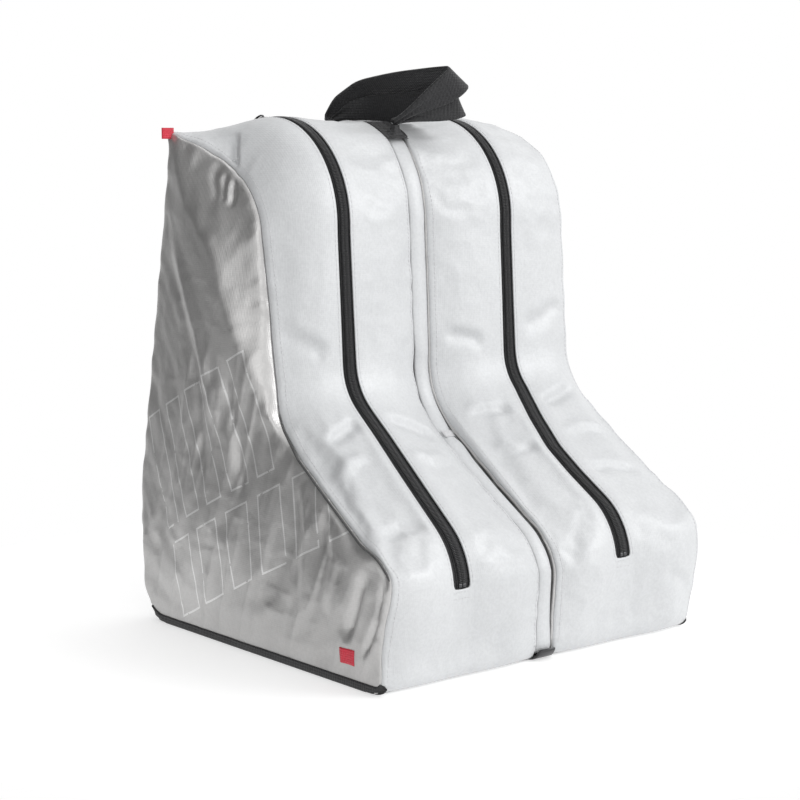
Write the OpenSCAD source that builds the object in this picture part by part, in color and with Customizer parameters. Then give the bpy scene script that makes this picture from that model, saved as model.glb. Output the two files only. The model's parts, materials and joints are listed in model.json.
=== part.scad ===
// Ski boot bag: two boot-shaped fabric compartments side by side on one black base,
// each closed by a zip that runs from the top over the shin and instep to the toe,
// with two webbing carry loops over the middle. Millimetres, +Z up, toes towards -Y.
// The origin is in the middle of the underside. Left is -X, right is +X.

/* [Bag body] */
// Width over the two outer side panels
body_w = 332; // [300:2:360]
// Thickness of the padded shell fabric
fabric_t = 2; // [1:0.5:3]
// Width of the narrow strip of fabric between the two compartments
centre_w = 14; // [8:1:24]
// How far the centre strip sits back from the front panels
centre_recess = 3; // [0:0.5:6]
// Radius of the domed top, seen from the side
dome_r = 86; // [80:1:90]
// Height of the centre of the dome
dome_z = 340; // [330:1:350]
// Distance of the centre of the dome behind the middle
dome_y = 58; // [50:1:64]

/* [Zips] */
// Width of the open slit in the front panel that shows the zip
slit_w = 10.5; // [9:0.5:14]
// Width of one woven zip tape
tape_w = 16; // [12:1:20]
// Thickness of the zip tape
tape_t = 0.8; // [0.5:0.1:1]
// Half the width of the closed zip coil
coil_half_w = 3.2; // [2.8:0.1:3.6]
// Angle on the dome at which each slider is parked, 90 is the top
slider_angle = 72; // [70:1:90]
// Length of the slider body
slider_len = 15; // [10:1:16]
// Length of the pull tab from its pin
tab_len = 26; // [20:1:32]

/* [Handles] */
// Width of the handle webbing
webbing_w = 25; // [20:1:30]
// Thickness of the doubled handle webbing
webbing_t = 2.2; // [1.6:0.1:3]
// Height of the line that the carry loops swing about
handle_z = 422; // [421:1:425]
// Reach of the left loop from that line
left_loop_h = 54; // [52:1:60]
// Reach of the right loop from that line, short enough to pass inside the left one
right_loop_h = 48; // [44:1:48]
// How far the left loop leans to the right when it is let go
left_loop_lean = 42; // [36:1:46]
// How far the right loop leans to the right when it is let go
right_loop_lean = 69; // [64:1:69]

/* [Trim] */
// Height of the black tape around the edge of the base
binding_h = 6.5; // [4:0.5:9]
// Thickness of the black edge tape
binding_t = 1.5; // [1:0.5:2]
// Width of the tape that covers the raw seam edges inside
seam_tape_w = 8; // [5:1:10]
// Thickness of the boards that stiffen the base
board_t = 3; // [2:0.5:4]

/* [Hidden] */

silver = [0.84, 0.85, 0.86];
grey = [0.62, 0.62, 0.63];
black = [0.09, 0.09, 0.10];
red = [0.75, 0.12, 0.14];

half_w = body_w / 2;
inner_x = centre_w / 2;
panel_x0 = half_w - fabric_t;
panel_x1 = inner_x + fabric_t;
zip_x = (panel_x0 + panel_x1) / 2 + 1.5;

// Side outline, as corners (y, z) that are rounded below. It goes over the dome,
// down the shin, along the instep to the toe, back under the base and up the back.
back_corner_angle = 57.5;
zip_end_angle = 62;
stop_angle = 2.5;
shin_angle = 183.5;
dome_steps = 24;
shin_corner = [-36, 208];
toe_top = [-184, 96];
toe_base = [-174, 0];
heel_base = [158, 0];
back_bend = [158, 110];
shin_r = 45;
toe_r = 60;
toe_base_r = 12;
heel_r = 34;
back_r = 300;
fine = 10;
coarse = 5;
binding_in = 3;

function unit(v) = v / norm(v);
function left_of(v) = [-v[1], v[0]];
function on_circle(c, r, a) = c + r * [cos(a), sin(a)];
function arc(c, r, a0, a1, n) = [for (i = [0:n]) on_circle(c, r, a0 + (a1 - a0) * i / n)];
function heading(v) = atan2(v[1], v[0]);
function turn(a0, a1) = (a1 - a0 + 900) % 360 - 180;

// The arc of radius r that rounds the corner b between a and c
function rounded(a, b, c, r, n) =
    let (
        u = unit(a - b),
        v = unit(c - b),
        half = acos(u * v) / 2,
        centre = b + unit(u + v) * r / sin(half),
        a0 = heading(b + u * r / tan(half) - centre),
        a1 = heading(b + v * r / tan(half) - centre)
    )
    arc(centre, r, a0, a0 + turn(a0, a1), n);

// The path p moved by d to its left, with mitred corners
function moved(p, d, closed) =
    let (n = len(p))
    [for (i = [0:n - 1])
        let (
            before = closed || i > 0 ? p[i] - p[(i + n - 1) % n] : p[1] - p[0],
            after = closed || i < n - 1 ? p[(i + 1) % n] - p[i] : p[n - 1] - p[n - 2],
            m = left_of(unit(before)),
            k = left_of(unit(after))
        )
        p[i] + (m + k) * d / (1 + m * k)];

dome = [dome_y, dome_z];
back_corner = on_circle(dome, dome_r, back_corner_angle);
shin_top = on_circle(dome, dome_r, shin_angle);
chain_angle = zip_end_angle + stop_angle;
outline = concat(
    [back_corner, on_circle(dome, dome_r, zip_end_angle)],
    arc(dome, dome_r, chain_angle, shin_angle, dome_steps),
    rounded(shin_top, shin_corner, toe_top, shin_r, fine),
    rounded(shin_corner, toe_top, toe_base, toe_r, fine),
    rounded(toe_top, toe_base, heel_base, toe_base_r, coarse),
    rounded(toe_base, heel_base, back_bend, heel_r, fine),
    rounded(heel_base, back_bend, back_corner, back_r, coarse)
);

// Where the stretches of the outline start and end
i_top = 0;
i_zip_top = 1;
i_shin = 2 + dome_steps;
i_toe = i_shin + 1 + fine + 1;
i_zip_toe = i_toe + fine - 2;
i_base_front = i_toe + fine + 1 + coarse;
i_base_back = i_base_front + 1;
i_heel = i_base_back + fine;
i_back_end = len(outline);

function inset(d) = moved(outline, d, true);

// A strip of the shell between two places on the outline and two depths below it
module strip(i0, i1, d0, d1, x0, x1) {
    n = len(outline);
    outer = inset(d0);
    inner = inset(d1);
    translate([x0, 0, 0])
        rotate([90, 0, 90])
            linear_extrude(x1 - x0)
                polygon(concat(
                    [for (i = [i0:i1]) outer[i % n]],
                    [for (i = [i1:-1:i0]) inner[i % n]]
                ));
}

// A whole sheet in the shape of the outline, d inside it
module sheet(d, x0, x1) {
    translate([x0, 0, 0])
        rotate([90, 0, 90])
            linear_extrude(x1 - x0)
                polygon(inset(d));
}

// The left half is modelled and the right half mirrors it
module on_right() {
    mirror([1, 0, 0])
        children();
}

module outer_panel() {
    color(grey)
        sheet(0, -half_w, -panel_x0);
}

module inner_panel() {
    color(silver)
        difference() {
            sheet(0, -panel_x1, -inner_x);
            translate([-half_w, -half_w * 2, -1])
                cube([body_w, body_w * 2, fabric_t + 1]);
        }
}

// One cloth from the top edge to the base, slit for the zip
module front_panel() {
    color(silver)
        union() {
            strip(i_top, i_zip_top, 0, fabric_t, -panel_x0, -panel_x1);
            strip(i_zip_top, i_zip_toe, 0, fabric_t, -panel_x0, -zip_x - slit_w / 2);
            strip(i_zip_top, i_zip_toe, 0, fabric_t, -zip_x + slit_w / 2, -panel_x1);
            strip(i_zip_toe, i_base_front, 0, fabric_t, -panel_x0, -panel_x1);
        }
}

module back_panel() {
    color(silver)
        strip(i_base_back, i_back_end, 0, fabric_t, -panel_x0, -panel_x1);
}

module base_board() {
    gap = 0.5;
    board_x0 = -panel_x0 + binding_in + gap;
    board_x1 = -panel_x1 - binding_in - gap;
    front = toe_base[0] + toe_base_r;
    back = heel_base[0] - heel_r - 2;
    color("wheat")
        translate([board_x0, front, fabric_t])
            cube([board_x1 - board_x0, back - front, board_t]);
}

// Tape folded over the raw edges, inside each seam
module seam_tape(x0) {
    color(black)
        difference() {
            sheet(fabric_t, x0, x0 + binding_in);
            sheet(fabric_t + seam_tape_w, x0 - 1, x0 + binding_in + 1);
        }
}

module outer_seam_tape() {
    seam_tape(-panel_x0);
}

module inner_seam_tape() {
    seam_tape(-panel_x1 - binding_in);
}

// Zip: two tapes under the edges of the slit, a coil along each, stops at the ends
neck_gap = 0.5;
coil_top = -0.2;
module zip_tape(x0, x1) {
    color(black)
        strip(i_zip_top, i_zip_toe, fabric_t, fabric_t + tape_t, -zip_x + x0, -zip_x + x1);
}

module zip_tape_outer() {
    zip_tape(-tape_w, -neck_gap);
}

module zip_tape_inner() {
    zip_tape(neck_gap, tape_w);
}

module zip_coil(x0, x1) {
    color(black)
        strip(i_zip_top + 1, i_zip_toe - 1, coil_top, fabric_t, -zip_x + x0, -zip_x + x1);
}

module zip_coil_outer() {
    zip_coil(-coil_half_w, -neck_gap);
}

module zip_coil_inner() {
    zip_coil(neck_gap, coil_half_w);
}

module zip_stops() {
    stop_top = -0.6;
    x0 = -zip_x - coil_half_w;
    x1 = -zip_x + coil_half_w;
    color("dimgray")
        union() {
            strip(i_zip_top, i_zip_top + 1, stop_top, fabric_t, x0, x1);
            strip(i_zip_toe - 1, i_zip_toe, stop_top, fabric_t, x0, x1);
        }
}

// Puts a piece on the dome at angle a: y runs along the zip, z points outwards
module on_dome(a) {
    translate([-zip_x, dome_y, dome_z])
        rotate([a - 90, 0, 0])
            translate([0, 0, dome_r])
                children();
}

module centred_box(size, at) {
    translate(at - [size[0] / 2, size[1] / 2, 0])
        cube(size);
}

// Slider: plates above and below the zip, joined by a neck that runs in the chain's gap,
// with a bridge on top that the pull tab's pin passes under
plate_w = 9.4;
plate_t = 1.3;
plate_z = 0.7;
lip_t = 1.15;
lip_depth = 2.3;
under_z = -4.8;
neck_t = 0.6;
neck_len = 4;
bridge_w = 2.4;
bridge_len = 10;
bridge_t = 1;
bridge_gap = 2.3;
pin_y = 3;
pin_r = 0.9;
module zip_slider() {
    deck = plate_z + plate_t;
    lip_x = (plate_w - lip_t) / 2;
    post_y = (bridge_len - bridge_t) / 2;
    neck_h = plate_z - under_z;
    color("gray")
        on_dome(slider_angle)
            union() {
                centred_box([plate_w, slider_len, plate_t], [0, 0, plate_z]);
                for (side = [-1, 1])
                    centred_box([lip_t, slider_len, lip_depth], [side * lip_x, 0, plate_z - lip_depth]);
                centred_box([plate_w, slider_len, plate_t], [0, 0, under_z]);
                centred_box([neck_t, neck_len, neck_h], [0, 0, under_z]);
                for (side = [-1, 1])
                    centred_box([bridge_w, bridge_t, bridge_gap], [0, side * post_y, deck]);
                centred_box([bridge_w, bridge_len, bridge_t], [0, 0, deck + bridge_gap]);
            }
}

module zip_pull_tab() {
    tab_w = 7;
    tab_t = 1.4;
    eye_w = 3.2;
    eye_len = 9.5;
    grip_hole_r = 1.6;
    pin_z = plate_z + plate_t + bridge_gap / 2;
    grip_y = tab_len - tab_w / 2;
    color("dimgray")
        on_dome(slider_angle)
            translate([0, pin_y, pin_z])
                union() {
                    rotate([0, 90, 0])
                        cylinder(r = pin_r, h = tab_w, center = true, $fn = 32);
                    difference() {
                        translate([0, 0, -tab_t / 2])
                            union() {
                                translate([-tab_w / 2, 0, 0])
                                    cube([tab_w, grip_y, tab_t]);
                                translate([0, grip_y, 0])
                                    cylinder(d = tab_w, h = tab_t, $fn = 48);
                            }
                        translate([-eye_w / 2, -1, -tab_t])
                            cube([eye_w, eye_len + 1, tab_t * 2]);
                        translate([0, grip_y, -tab_t])
                            cylinder(r = grip_hole_r, h = tab_t * 2, $fn = 32);
                    }
                }
}

// Base: one black sheet under both compartments, turned up a little between the toes
module base_panel() {
    lip_h = 5;
    lip_len = 4;
    color(black)
        union() {
            strip(i_base_front, i_base_back, 0, fabric_t, -panel_x0, panel_x0);
            translate([-inner_x, toe_base[0] + toe_base_r, 0])
                cube([centre_w, lip_len, fabric_t + lip_h]);
        }
}

module base_binding() {
    color(black)
        for (x0 = [-half_w - binding_t, half_w])
            strip(i_base_front - coarse, i_heel - 2, 0, binding_h, x0, x0 + binding_t);
}

module centre_front_strip() {
    d = centre_recess;
    color(silver)
        strip(i_top, i_base_front - 2, d, d + fabric_t, -inner_x, inner_x);
}

module centre_back_strip() {
    d = centre_recess;
    color(silver)
        strip(i_base_back + 3, i_back_end, d, d + fabric_t, -inner_x, inner_x);
}

// Handles: two loops of webbing whose ends taper to the anchors, nested so that
// either one can swing past the other
anchor_w = 30;
anchor_t = 1.5;
anchor_gap = 0.1;
root_w = 6;
root_top = 419;
foot_half_w = 2.5;
taper_h = 30;
front_foot = [12, 16];
rear_foot = [101, 97];
front_reach = [-19, -11];
rear_reach = [107, 100];

module anchor(a0, a1, root_y0, root_y1) {
    r0 = dome_r + anchor_gap;
    r1 = r0 + anchor_t;
    root_z = dome_z + sqrt(r0 * r0 - pow(max(abs(root_y0 - dome_y), abs(root_y1 - dome_y)), 2));
    color(black)
        union() {
            translate([-anchor_w / 2, 0, 0])
                rotate([90, 0, 90])
                    linear_extrude(anchor_w)
                        polygon(concat(arc(dome, r0, a0, a1, coarse), arc(dome, r1, a1, a0, coarse)));
            difference() {
                translate([-root_w / 2, root_y0, root_z])
                    cube([root_w, root_y1 - root_y0, root_top - root_z]);
                translate([0, dome_y, dome_z])
                    rotate([0, 90, 0])
                        cylinder(r = r0 + anchor_t / 2, h = anchor_w, center = true, $fn = 180);
            }
        }
}

module front_handle_anchor() {
    anchor(116, 126, front_foot[0] - 1, front_foot[1] + webbing_t + 1);
}

module rear_handle_anchor() {
    anchor(58, 67, rear_foot[1] - webbing_t - 1, rear_foot[0] + 1);
}

module loop_handle(which, reach, lean) {
    corner_r = 14;
    front = [front_foot[which], 0];
    front_top = [front_reach[which], reach + webbing_t];
    rear_top = [rear_reach[which], reach + webbing_t];
    rear = [rear_foot[which], 0];
    path = concat(
        [front],
        rounded(front, front_top, rear_top, corner_r, fine),
        rounded(front_top, rear_top, rear, corner_r, fine),
        [rear]
    );
    inner = moved(path, -webbing_t, false);
    n = len(path);
    color(black)
        translate([0, 0, handle_z])
            rotate([0, lean, 0])
                intersection() {
                    translate([-webbing_w / 2, 0, 0])
                        rotate([90, 0, 90])
                            linear_extrude(webbing_w)
                                polygon(concat(path, [for (i = [n - 1:-1:0]) inner[i]]));
                    translate([0, half_w, 0])
                        rotate([90, 0, 0])
                            linear_extrude(body_w)
                                polygon([
                                    [-foot_half_w, -1],
                                    [foot_half_w, -1],
                                    [webbing_w / 2, taper_h],
                                    [webbing_w / 2, reach * 2],
                                    [-webbing_w / 2, reach * 2],
                                    [-webbing_w / 2, taper_h]
                                ]);
                }
}

module left_handle() {
    loop_handle(0, left_loop_h, left_loop_lean);
}

module right_handle() {
    loop_handle(1, right_loop_h, right_loop_lean);
}

// Folded tape caught in the seam at the top of the left back corner
module red_seam_tab() {
    size = [8, 2, 9];
    color(red)
        translate([-half_w - size[0], back_corner[0] - 6, back_corner[1] - size[2] - 3])
            cube(size);
}

// Plain woven label low on the left side, near the toe
module woven_label() {
    label_l = 16;
    label_h = 12;
    label_t = 0.6;
    label_y = -138;
    label_z = 17;
    color(red)
        translate([-half_w - label_t, label_y, label_z])
            cube([label_t, label_l, label_h]);
}

base_panel();
base_binding();
centre_front_strip();
centre_back_strip();
outer_panel();  // left_outer_panel
inner_panel();  // left_inner_panel
front_panel();  // left_front_panel
back_panel();  // left_back_panel
base_board();  // left_base_board
outer_seam_tape();  // left_outer_seam_tape
inner_seam_tape();  // left_inner_seam_tape
zip_tape_outer();  // left_zip_tape_outer
zip_tape_inner();  // left_zip_tape_inner
zip_coil_outer();  // left_zip_coil_outer
zip_coil_inner();  // left_zip_coil_inner
zip_stops();  // left_zip_stops
zip_slider();  // left_zip_slider
zip_pull_tab();  // left_zip_pull_tab
on_right() outer_panel();  // right_outer_panel
on_right() inner_panel();  // right_inner_panel
on_right() front_panel();  // right_front_panel
on_right() back_panel();  // right_back_panel
on_right() base_board();  // right_base_board
on_right() outer_seam_tape();  // right_outer_seam_tape
on_right() inner_seam_tape();  // right_inner_seam_tape
on_right() zip_tape_outer();  // right_zip_tape_outer
on_right() zip_tape_inner();  // right_zip_tape_inner
on_right() zip_coil_outer();  // right_zip_coil_outer
on_right() zip_coil_inner();  // right_zip_coil_inner
on_right() zip_stops();  // right_zip_stops
on_right() zip_slider();  // right_zip_slider
on_right() zip_pull_tab();  // right_zip_pull_tab
front_handle_anchor();
rear_handle_anchor();
left_handle();
right_handle();
red_seam_tab();
woven_label();
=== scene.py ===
"""Ski boot bag: cloth, zips, webbing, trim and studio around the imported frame."""
import json
import math

import bmesh
import bpy
import numpy as np
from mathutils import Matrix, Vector
from mathutils.bvhtree import BVHTree
from mathutils.geometry import delaunay_2d_cdt


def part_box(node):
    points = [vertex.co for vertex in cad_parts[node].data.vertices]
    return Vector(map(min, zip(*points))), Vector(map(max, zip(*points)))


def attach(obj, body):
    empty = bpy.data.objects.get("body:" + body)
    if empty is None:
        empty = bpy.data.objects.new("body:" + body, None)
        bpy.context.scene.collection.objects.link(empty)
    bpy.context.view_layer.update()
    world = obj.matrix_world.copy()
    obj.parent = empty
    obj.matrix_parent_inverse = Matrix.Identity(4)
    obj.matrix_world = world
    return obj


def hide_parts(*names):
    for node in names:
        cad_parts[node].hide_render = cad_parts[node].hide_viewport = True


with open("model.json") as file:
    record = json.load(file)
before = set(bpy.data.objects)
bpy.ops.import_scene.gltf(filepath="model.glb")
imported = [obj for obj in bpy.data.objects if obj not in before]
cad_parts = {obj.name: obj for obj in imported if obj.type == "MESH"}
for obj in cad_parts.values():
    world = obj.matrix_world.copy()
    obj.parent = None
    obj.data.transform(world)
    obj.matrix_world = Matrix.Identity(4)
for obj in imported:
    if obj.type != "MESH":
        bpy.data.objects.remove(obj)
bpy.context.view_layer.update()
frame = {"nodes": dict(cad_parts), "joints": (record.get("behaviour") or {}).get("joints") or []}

MM = 0.001
SIDES = ("left", "right")
SIGN = {"left": -1.0, "right": 1.0}
JOINT = {j["name"]: j for j in frame["joints"]}


def joint_place(name):
    """Where a joint's axis passes, in millimetres."""
    return np.array(JOINT[name]["pos_m"]) / MM


def packed_points(name):
    """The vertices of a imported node, in metres."""
    return np.array([v.co for v in frame["nodes"][name].data.vertices])


def packed_box(name):
    """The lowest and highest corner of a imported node, in millimetres."""
    return [np.array(corner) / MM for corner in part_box(name)]


def inward(side, which):
    """The way along X from a seam to the middle of its compartment, as -1 or 1."""
    return SIGN[side] * (-1 if which == "outer" else 1)


# ---------------------------------------------------------------- camera
def make_camera():
    """Camera at three-quarter view from the front left, a little above the bag."""
    data = bpy.data.cameras.new("camera")
    data.lens = 88.24
    data.sensor_width = 36
    cam = bpy.data.objects.new("camera", data)
    cam.location = (-1.0527, -1.2582, 0.4124)
    cam.rotation_euler = (math.radians(82.26), 0, math.radians(-39.73))
    bpy.context.scene.collection.objects.link(cam)
    bpy.context.scene.camera = cam


make_camera()


# ---------------------------------------------------------------- small maths
def unit(v):
    """Vectors made one long."""
    v = np.asarray(v, float)
    return v / np.maximum(np.linalg.norm(v, axis=-1, keepdims=True), 1e-12)


def ease(t):
    """Smooth step from 0 to 1."""
    t = np.clip(t, 0.0, 1.0)
    return t * t * (3 - 2 * t)


def run_of(path):
    """The distance run at each point of a path."""
    return np.r_[0, np.cumsum(np.linalg.norm(np.diff(path, axis=0), axis=1))]


def circle(count):
    """Evenly spaced angles round a full turn."""
    return np.linspace(0, 2 * math.pi, count, endpoint=False)


def blur_ring(values, sigma):
    """Circular Gaussian smoothing along the first axis, sigma in samples."""
    reach = int(3 * sigma) + 1
    total = np.zeros_like(values)
    weight = 0.0
    for k in range(-reach, reach + 1):
        w = math.exp(-0.5 * (k / sigma) ** 2)
        total += w * np.roll(values, k, axis=0)
        weight += w
    return total / weight


NOISE_TABLE = np.random.RandomState(11).uniform(-1, 1, 4096)


def noise3(points, scale, seed):
    """Smooth value noise from -1 to 1 at each point, with cells of 1 / scale."""
    p = np.asarray(points, float) * scale + seed * 17.31 + 500.0
    cell = np.floor(p).astype(np.int64)
    f = p - cell
    f = f * f * f * (f * (f * 6 - 15) + 10)
    total = np.zeros(len(p))
    for dx in (0, 1):
        for dy in (0, 1):
            for dz in (0, 1):
                h = (cell[:, 0] + dx) * 73856093 ^ (cell[:, 1] + dy) * 19349663
                h = (h ^ (cell[:, 2] + dz) * 83492791 ^ seed * 2654435) & 4095
                wx = f[:, 0] if dx else 1 - f[:, 0]
                wy = f[:, 1] if dy else 1 - f[:, 1]
                wz = f[:, 2] if dz else 1 - f[:, 2]
                total += NOISE_TABLE[h] * wx * wy * wz
    return total


# ---------------------------------------------------------------- the side outline
def outline_samples():
    """The side outline (y, z) every millimetre from the back top corner forward over
    the dome, with its outward normals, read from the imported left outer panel."""
    low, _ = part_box("left_outer_panel")
    mesh = frame["nodes"]["left_outer_panel"].data
    flat = {(round(v.co.y, 5), round(v.co.z, 5)) for v in mesh.vertices if v.co.x < low.x + 1e-4}
    corner = max(flat, key=sum)
    # From the hub, (y, z) in metres, the whole outline is in sight
    hub = (0.055, 0.15)
    start = math.atan2(corner[1] - hub[1], corner[0] - hub[0])

    def bearing(p):
        """Angle of a point seen from the hub, counted from the back top corner."""
        return (math.atan2(p[1] - hub[1], p[0] - hub[0]) - start + 1e-6) % (2 * math.pi)

    ring = np.array(sorted(flat, key=bearing))
    closed = np.vstack([ring, ring[:1]])
    lengths = run_of(closed)
    count = int(round(lengths[-1] / MM))
    at = np.arange(count) * lengths[-1] / count
    line = np.c_[np.interp(at, lengths, closed[:, 0]), np.interp(at, lengths, closed[:, 1])]
    near = np.minimum(at, lengths[-1] - at) / MM
    keep = np.clip(near / 12, 0, 1)[:, None]
    line = line * (1 - keep) + blur_ring(line, 3.0) * keep
    tangent = np.roll(line, -2, axis=0) - np.roll(line, 2, axis=0)
    normal = unit(np.c_[tangent[:, 1], -tangent[:, 0]])
    return line, normal, lengths[-1] / MM


LINE, LINE_NORMAL, PERIMETER = outline_samples()


def outline(s):
    """Points and normals (y, z) at distances s (mm) along the outline."""
    s = np.asarray(s, float) % PERIMETER
    at = np.arange(len(LINE) + 1) * PERIMETER / len(LINE)
    closed = np.vstack([LINE, LINE[:1]])
    normals = np.vstack([LINE_NORMAL, LINE_NORMAL[:1]])
    point = np.c_[np.interp(s, at, closed[:, 0]), np.interp(s, at, closed[:, 1])]
    normal = np.c_[np.interp(s, at, normals[:, 0]), np.interp(s, at, normals[:, 1])]
    return point, unit(normal)


def table(rows, s):
    """Values at distances s from rows of (distance, value, ...), in a closed ring."""
    rows = np.array(rows, float)
    return [np.interp(s, rows[:, 0], rows[:, k], period=PERIMETER) for k in range(1, rows.shape[1])]


# Distances along the outline, in millimetres from the back top corner
ZIP_TOP = 7.0
BASE_FRONT = 597.0
BASE_BACK = 883.0
STATIONS = 220
STEP = PERIMETER / STATIONS


def zip_toe():
    """How far along the outline the zips end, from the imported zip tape's lowest edge."""
    low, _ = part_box("left_zip_tape_outer")
    s = np.arange(400.0, 560.0, 0.5)
    z = outline(s)[0][:, 1]
    return float(s[np.argmin(np.abs(z - low.z))])


ZIP_TOE = zip_toe()
SEAM_X = 8.0

# Seams as (distance, offset from the middle, depth below the outline)
OUTER_SEAM = {
    "left": [
        (0, 167, -3), (12, 164, 9), (28, 158, 20), (47, 153, 29), (68, 150, 34),
        (95, 148, 38), (122, 148, 37), (162, 148, 33), (191, 148, 28), (218, 148, 25),
        (246, 148, 22), (272, 149, 19), (304, 151, 13), (330, 154, 20), (358, 157, 22),
        (405, 159, 19), (457, 161, 15), (490, 163.5, 2), (501, 164.5, -3), (512, 165, 0),
        (529, 166, 5), (558, 166, 8), (585, 166, 4), (596, 166, 0.3), (610, 166, 0),
        (870, 166, 0), (883, 166, 0), (910, 166, 3), (937, 166, 2), (1013, 166, 0),
        (1300, 166, 1),
    ],
    "right": [
        (0, 166, 5), (30, 164, 10), (68, 162, 13), (120, 162, 11), (190, 162, 7),
        (300, 162, 6), (340, 163, 10), (400, 164, 9), (457, 165, 5), (501, 166, -5),
        (530, 166, -3), (558, 166, 0), (585, 166, 2), (596, 166, 0.3), (610, 166, 0),
        (870, 166, 0), (883, 166, 0), (910, 166, 3), (937, 166, 2), (1013, 166, 0),
        (1300, 166, 1),
    ],
}
INNER_SEAM = [
    (0, 4), (40, 2), (87, 3), (103, 4), (123, 8), (163, 12), (232, 12), (290, 13),
    (338, 21), (351, 21), (418, 18), (487, 12), (517, 7), (560, 6), (588, 3), (597, 0),
    (883, 0), (905, 4), (1013, 7), (1250, 7), (1305, 5),
]
# Zip line as (distance, offset of the left zip, offset of the right zip)
ZIP_LINE = [(0, 88, 88), (330, 88, 86), (365, 89, 77), (400, 91, 71), (430, 92.5, 72.5),
            (465, 94, 77), (515, 96, 77.5), (560, 92, 82), (600, 88, 88), (1300, 88, 88)]
# Half width of the zip slit, which the cloth pulls open over the foot, as (distance, half)
SLIT_HALF = [(0, 6.6), (250, 6.8), (400, 8.2), (600, 8.6), (1300, 8.6)]
# Fullness of the panels as (distance, outer half, inner half)
CROWN = {
    "left": [(0, 0, 1), (60, 0, 2), (180, 1, 3), (300, 3, 3), (345, 6, 4), (400, 9, 8),
             (470, 10, 9), (520, 8, 8), (565, 5, 5), (597, 0, 0), (883, 0, 0), (930, 4, 4),
             (1100, 6, 6), (1250, 4, 4), (1310, 0, 1)],
    "right": [(0, 1, 1), (60, 4, 2), (180, 4, 3), (300, 4, 3), (345, 6, 4), (400, 8, 8),
              (470, 9, 9), (520, 9, 8), (565, 8, 5), (597, 0, 0), (883, 0, 0), (930, 4, 4),
              (1100, 6, 6), (1250, 4, 4), (1310, 1, 1)],
}
# Columns from a seam to the zip slit, as fractions of that width
HALF_COLUMNS = (0, 0.035, 0.09, 0.17, 0.26, 0.35, 0.44, 0.53, 0.62, 0.71, 0.80, 0.88, 0.955, 1)


def on_outline(s, x, height):
    """Points (mm) at distances s, offsets x and heights above the outline."""
    point, normal = outline(np.atleast_1d(s))
    flat = point / MM + normal * np.atleast_1d(height)[:, None]
    return np.c_[np.broadcast_to(x, len(flat)), flat]


def zip_offset(side, s):
    """How far a zip runs from the middle at distances s."""
    return table(ZIP_LINE, s)[SIDES.index(side)]


def zip_x(side, s):
    """Where a zip is along X at one distance s."""
    return SIGN[side] * float(zip_offset(side, s))


def slit_half(s):
    """Half the width of the zip slit at distances s."""
    return table(SLIT_HALF, s)[0]


def seam_points(side, which, s):
    """Points (mm) of a compartment's outer or inner seam at distances s."""
    point, normal = outline(s)
    if which == "outer":
        x, depth = table(OUTER_SEAM[side], s)
    else:
        x, depth = np.full(len(s), SEAM_X), table(INNER_SEAM, s)[0]
    flat = point / MM - normal * depth[:, None]
    return np.c_[SIGN[side] * x, flat]


# ---------------------------------------------------------------- one compartment
FRONT, BACK, BASE, SLIT, OUTER, INNER = range(6)


def band(side):
    """Rows of points (mm) round the compartment, from the outer to the inner seam."""
    s = np.arange(STATIONS) * STEP
    point, normal = outline(s)
    point = point / MM
    xo, do = table(OUTER_SEAM[side], s)
    di = table(INNER_SEAM, s)[0]
    crown_o, crown_i = table(CROWN[side], s)
    xz = zip_offset(side, s)
    columns = []
    seam_x = np.full(STATIONS, SEAM_X)
    half = slit_half(s)
    for x0, d0, crown, slit in ((xo, do, crown_o, half), (seam_x, di, crown_i, -half)):
        part = []
        for t in HALF_COLUMNS:
            x = x0 + (xz + slit - x0) * t
            depth = d0 * (1 - t) ** 1.9 - crown * math.sin(math.pi * t) * (1 - 0.35 * t)
            part.append((x, depth))
        columns.append(part)
    ordered = columns[0] + [(xz, np.zeros(STATIONS))] + columns[1][::-1]
    rows = np.zeros((STATIONS, len(ordered), 3))
    for j, (x, depth) in enumerate(ordered):
        rows[:, j, 0] = SIGN[side] * x
        rows[:, j, 1:] = point - normal * depth[:, None]
    return rows


def inside(points, loop):
    """True for each (y, z) point inside a closed loop."""
    a, b = loop, np.roll(loop, -1, axis=0)
    hit = np.zeros(len(points), bool)
    for (y0, z0), (y1, z1) in zip(a, b):
        crosses = (z0 > points[:, 1]) != (z1 > points[:, 1])
        with np.errstate(divide="ignore", invalid="ignore"):
            y = (y1 - y0) * (points[:, 1] - z0) / (z1 - z0) + y0
        hit ^= crosses & (points[:, 0] < y)
    return hit


def distance_to_path(points, path, closed=False):
    """Distance to a polyline, how far along it, the direction there and the place there."""
    path = np.asarray(path, float)
    ends = np.vstack([path, path[:1]]) if closed else path
    best = np.full(len(points), 1e9)
    along = np.zeros(len(points))
    heading = np.zeros((len(points), path.shape[1]))
    nearest = np.zeros_like(heading)
    run = 0.0
    for a, b in zip(ends[:-1], ends[1:]):
        d = b - a
        length = np.linalg.norm(d)
        t = np.clip((points - a) @ d / max(length * length, 1e-9), 0, 1)
        foot = a + t[:, None] * d
        gap = np.linalg.norm(points - foot, axis=1)
        closer = gap < best
        best[closer] = gap[closer]
        along[closer] = run + t[closer] * length
        heading[closer] = d / max(length, 1e-9)
        nearest[closer] = foot[closer]
        run += length
    return best, along, heading, nearest


# The soft crease of the left side panel, from the back top corner to the ankle, as (y, z, x)
SIDE_RIDGE = [
    (102, 408, 166.5), (90, 385, 169.5), (74, 359, 171.5), (57, 341, 172.5), (38, 320, 173),
    (25, 290, 173), (7, 259, 172), (-7, 233, 169), (-19, 200, 165), (-38, 186, 161),
]


# A side panel's mesh is a jittered grid of this pitch, with a second ring inside its edge
CAP_PITCH = 7.0
CAP_JITTER = 0.8
CAP_RIM = 2.6
# Nodes this close to the soft crease lie in it
RIDGE_HALF = 3.6
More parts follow.
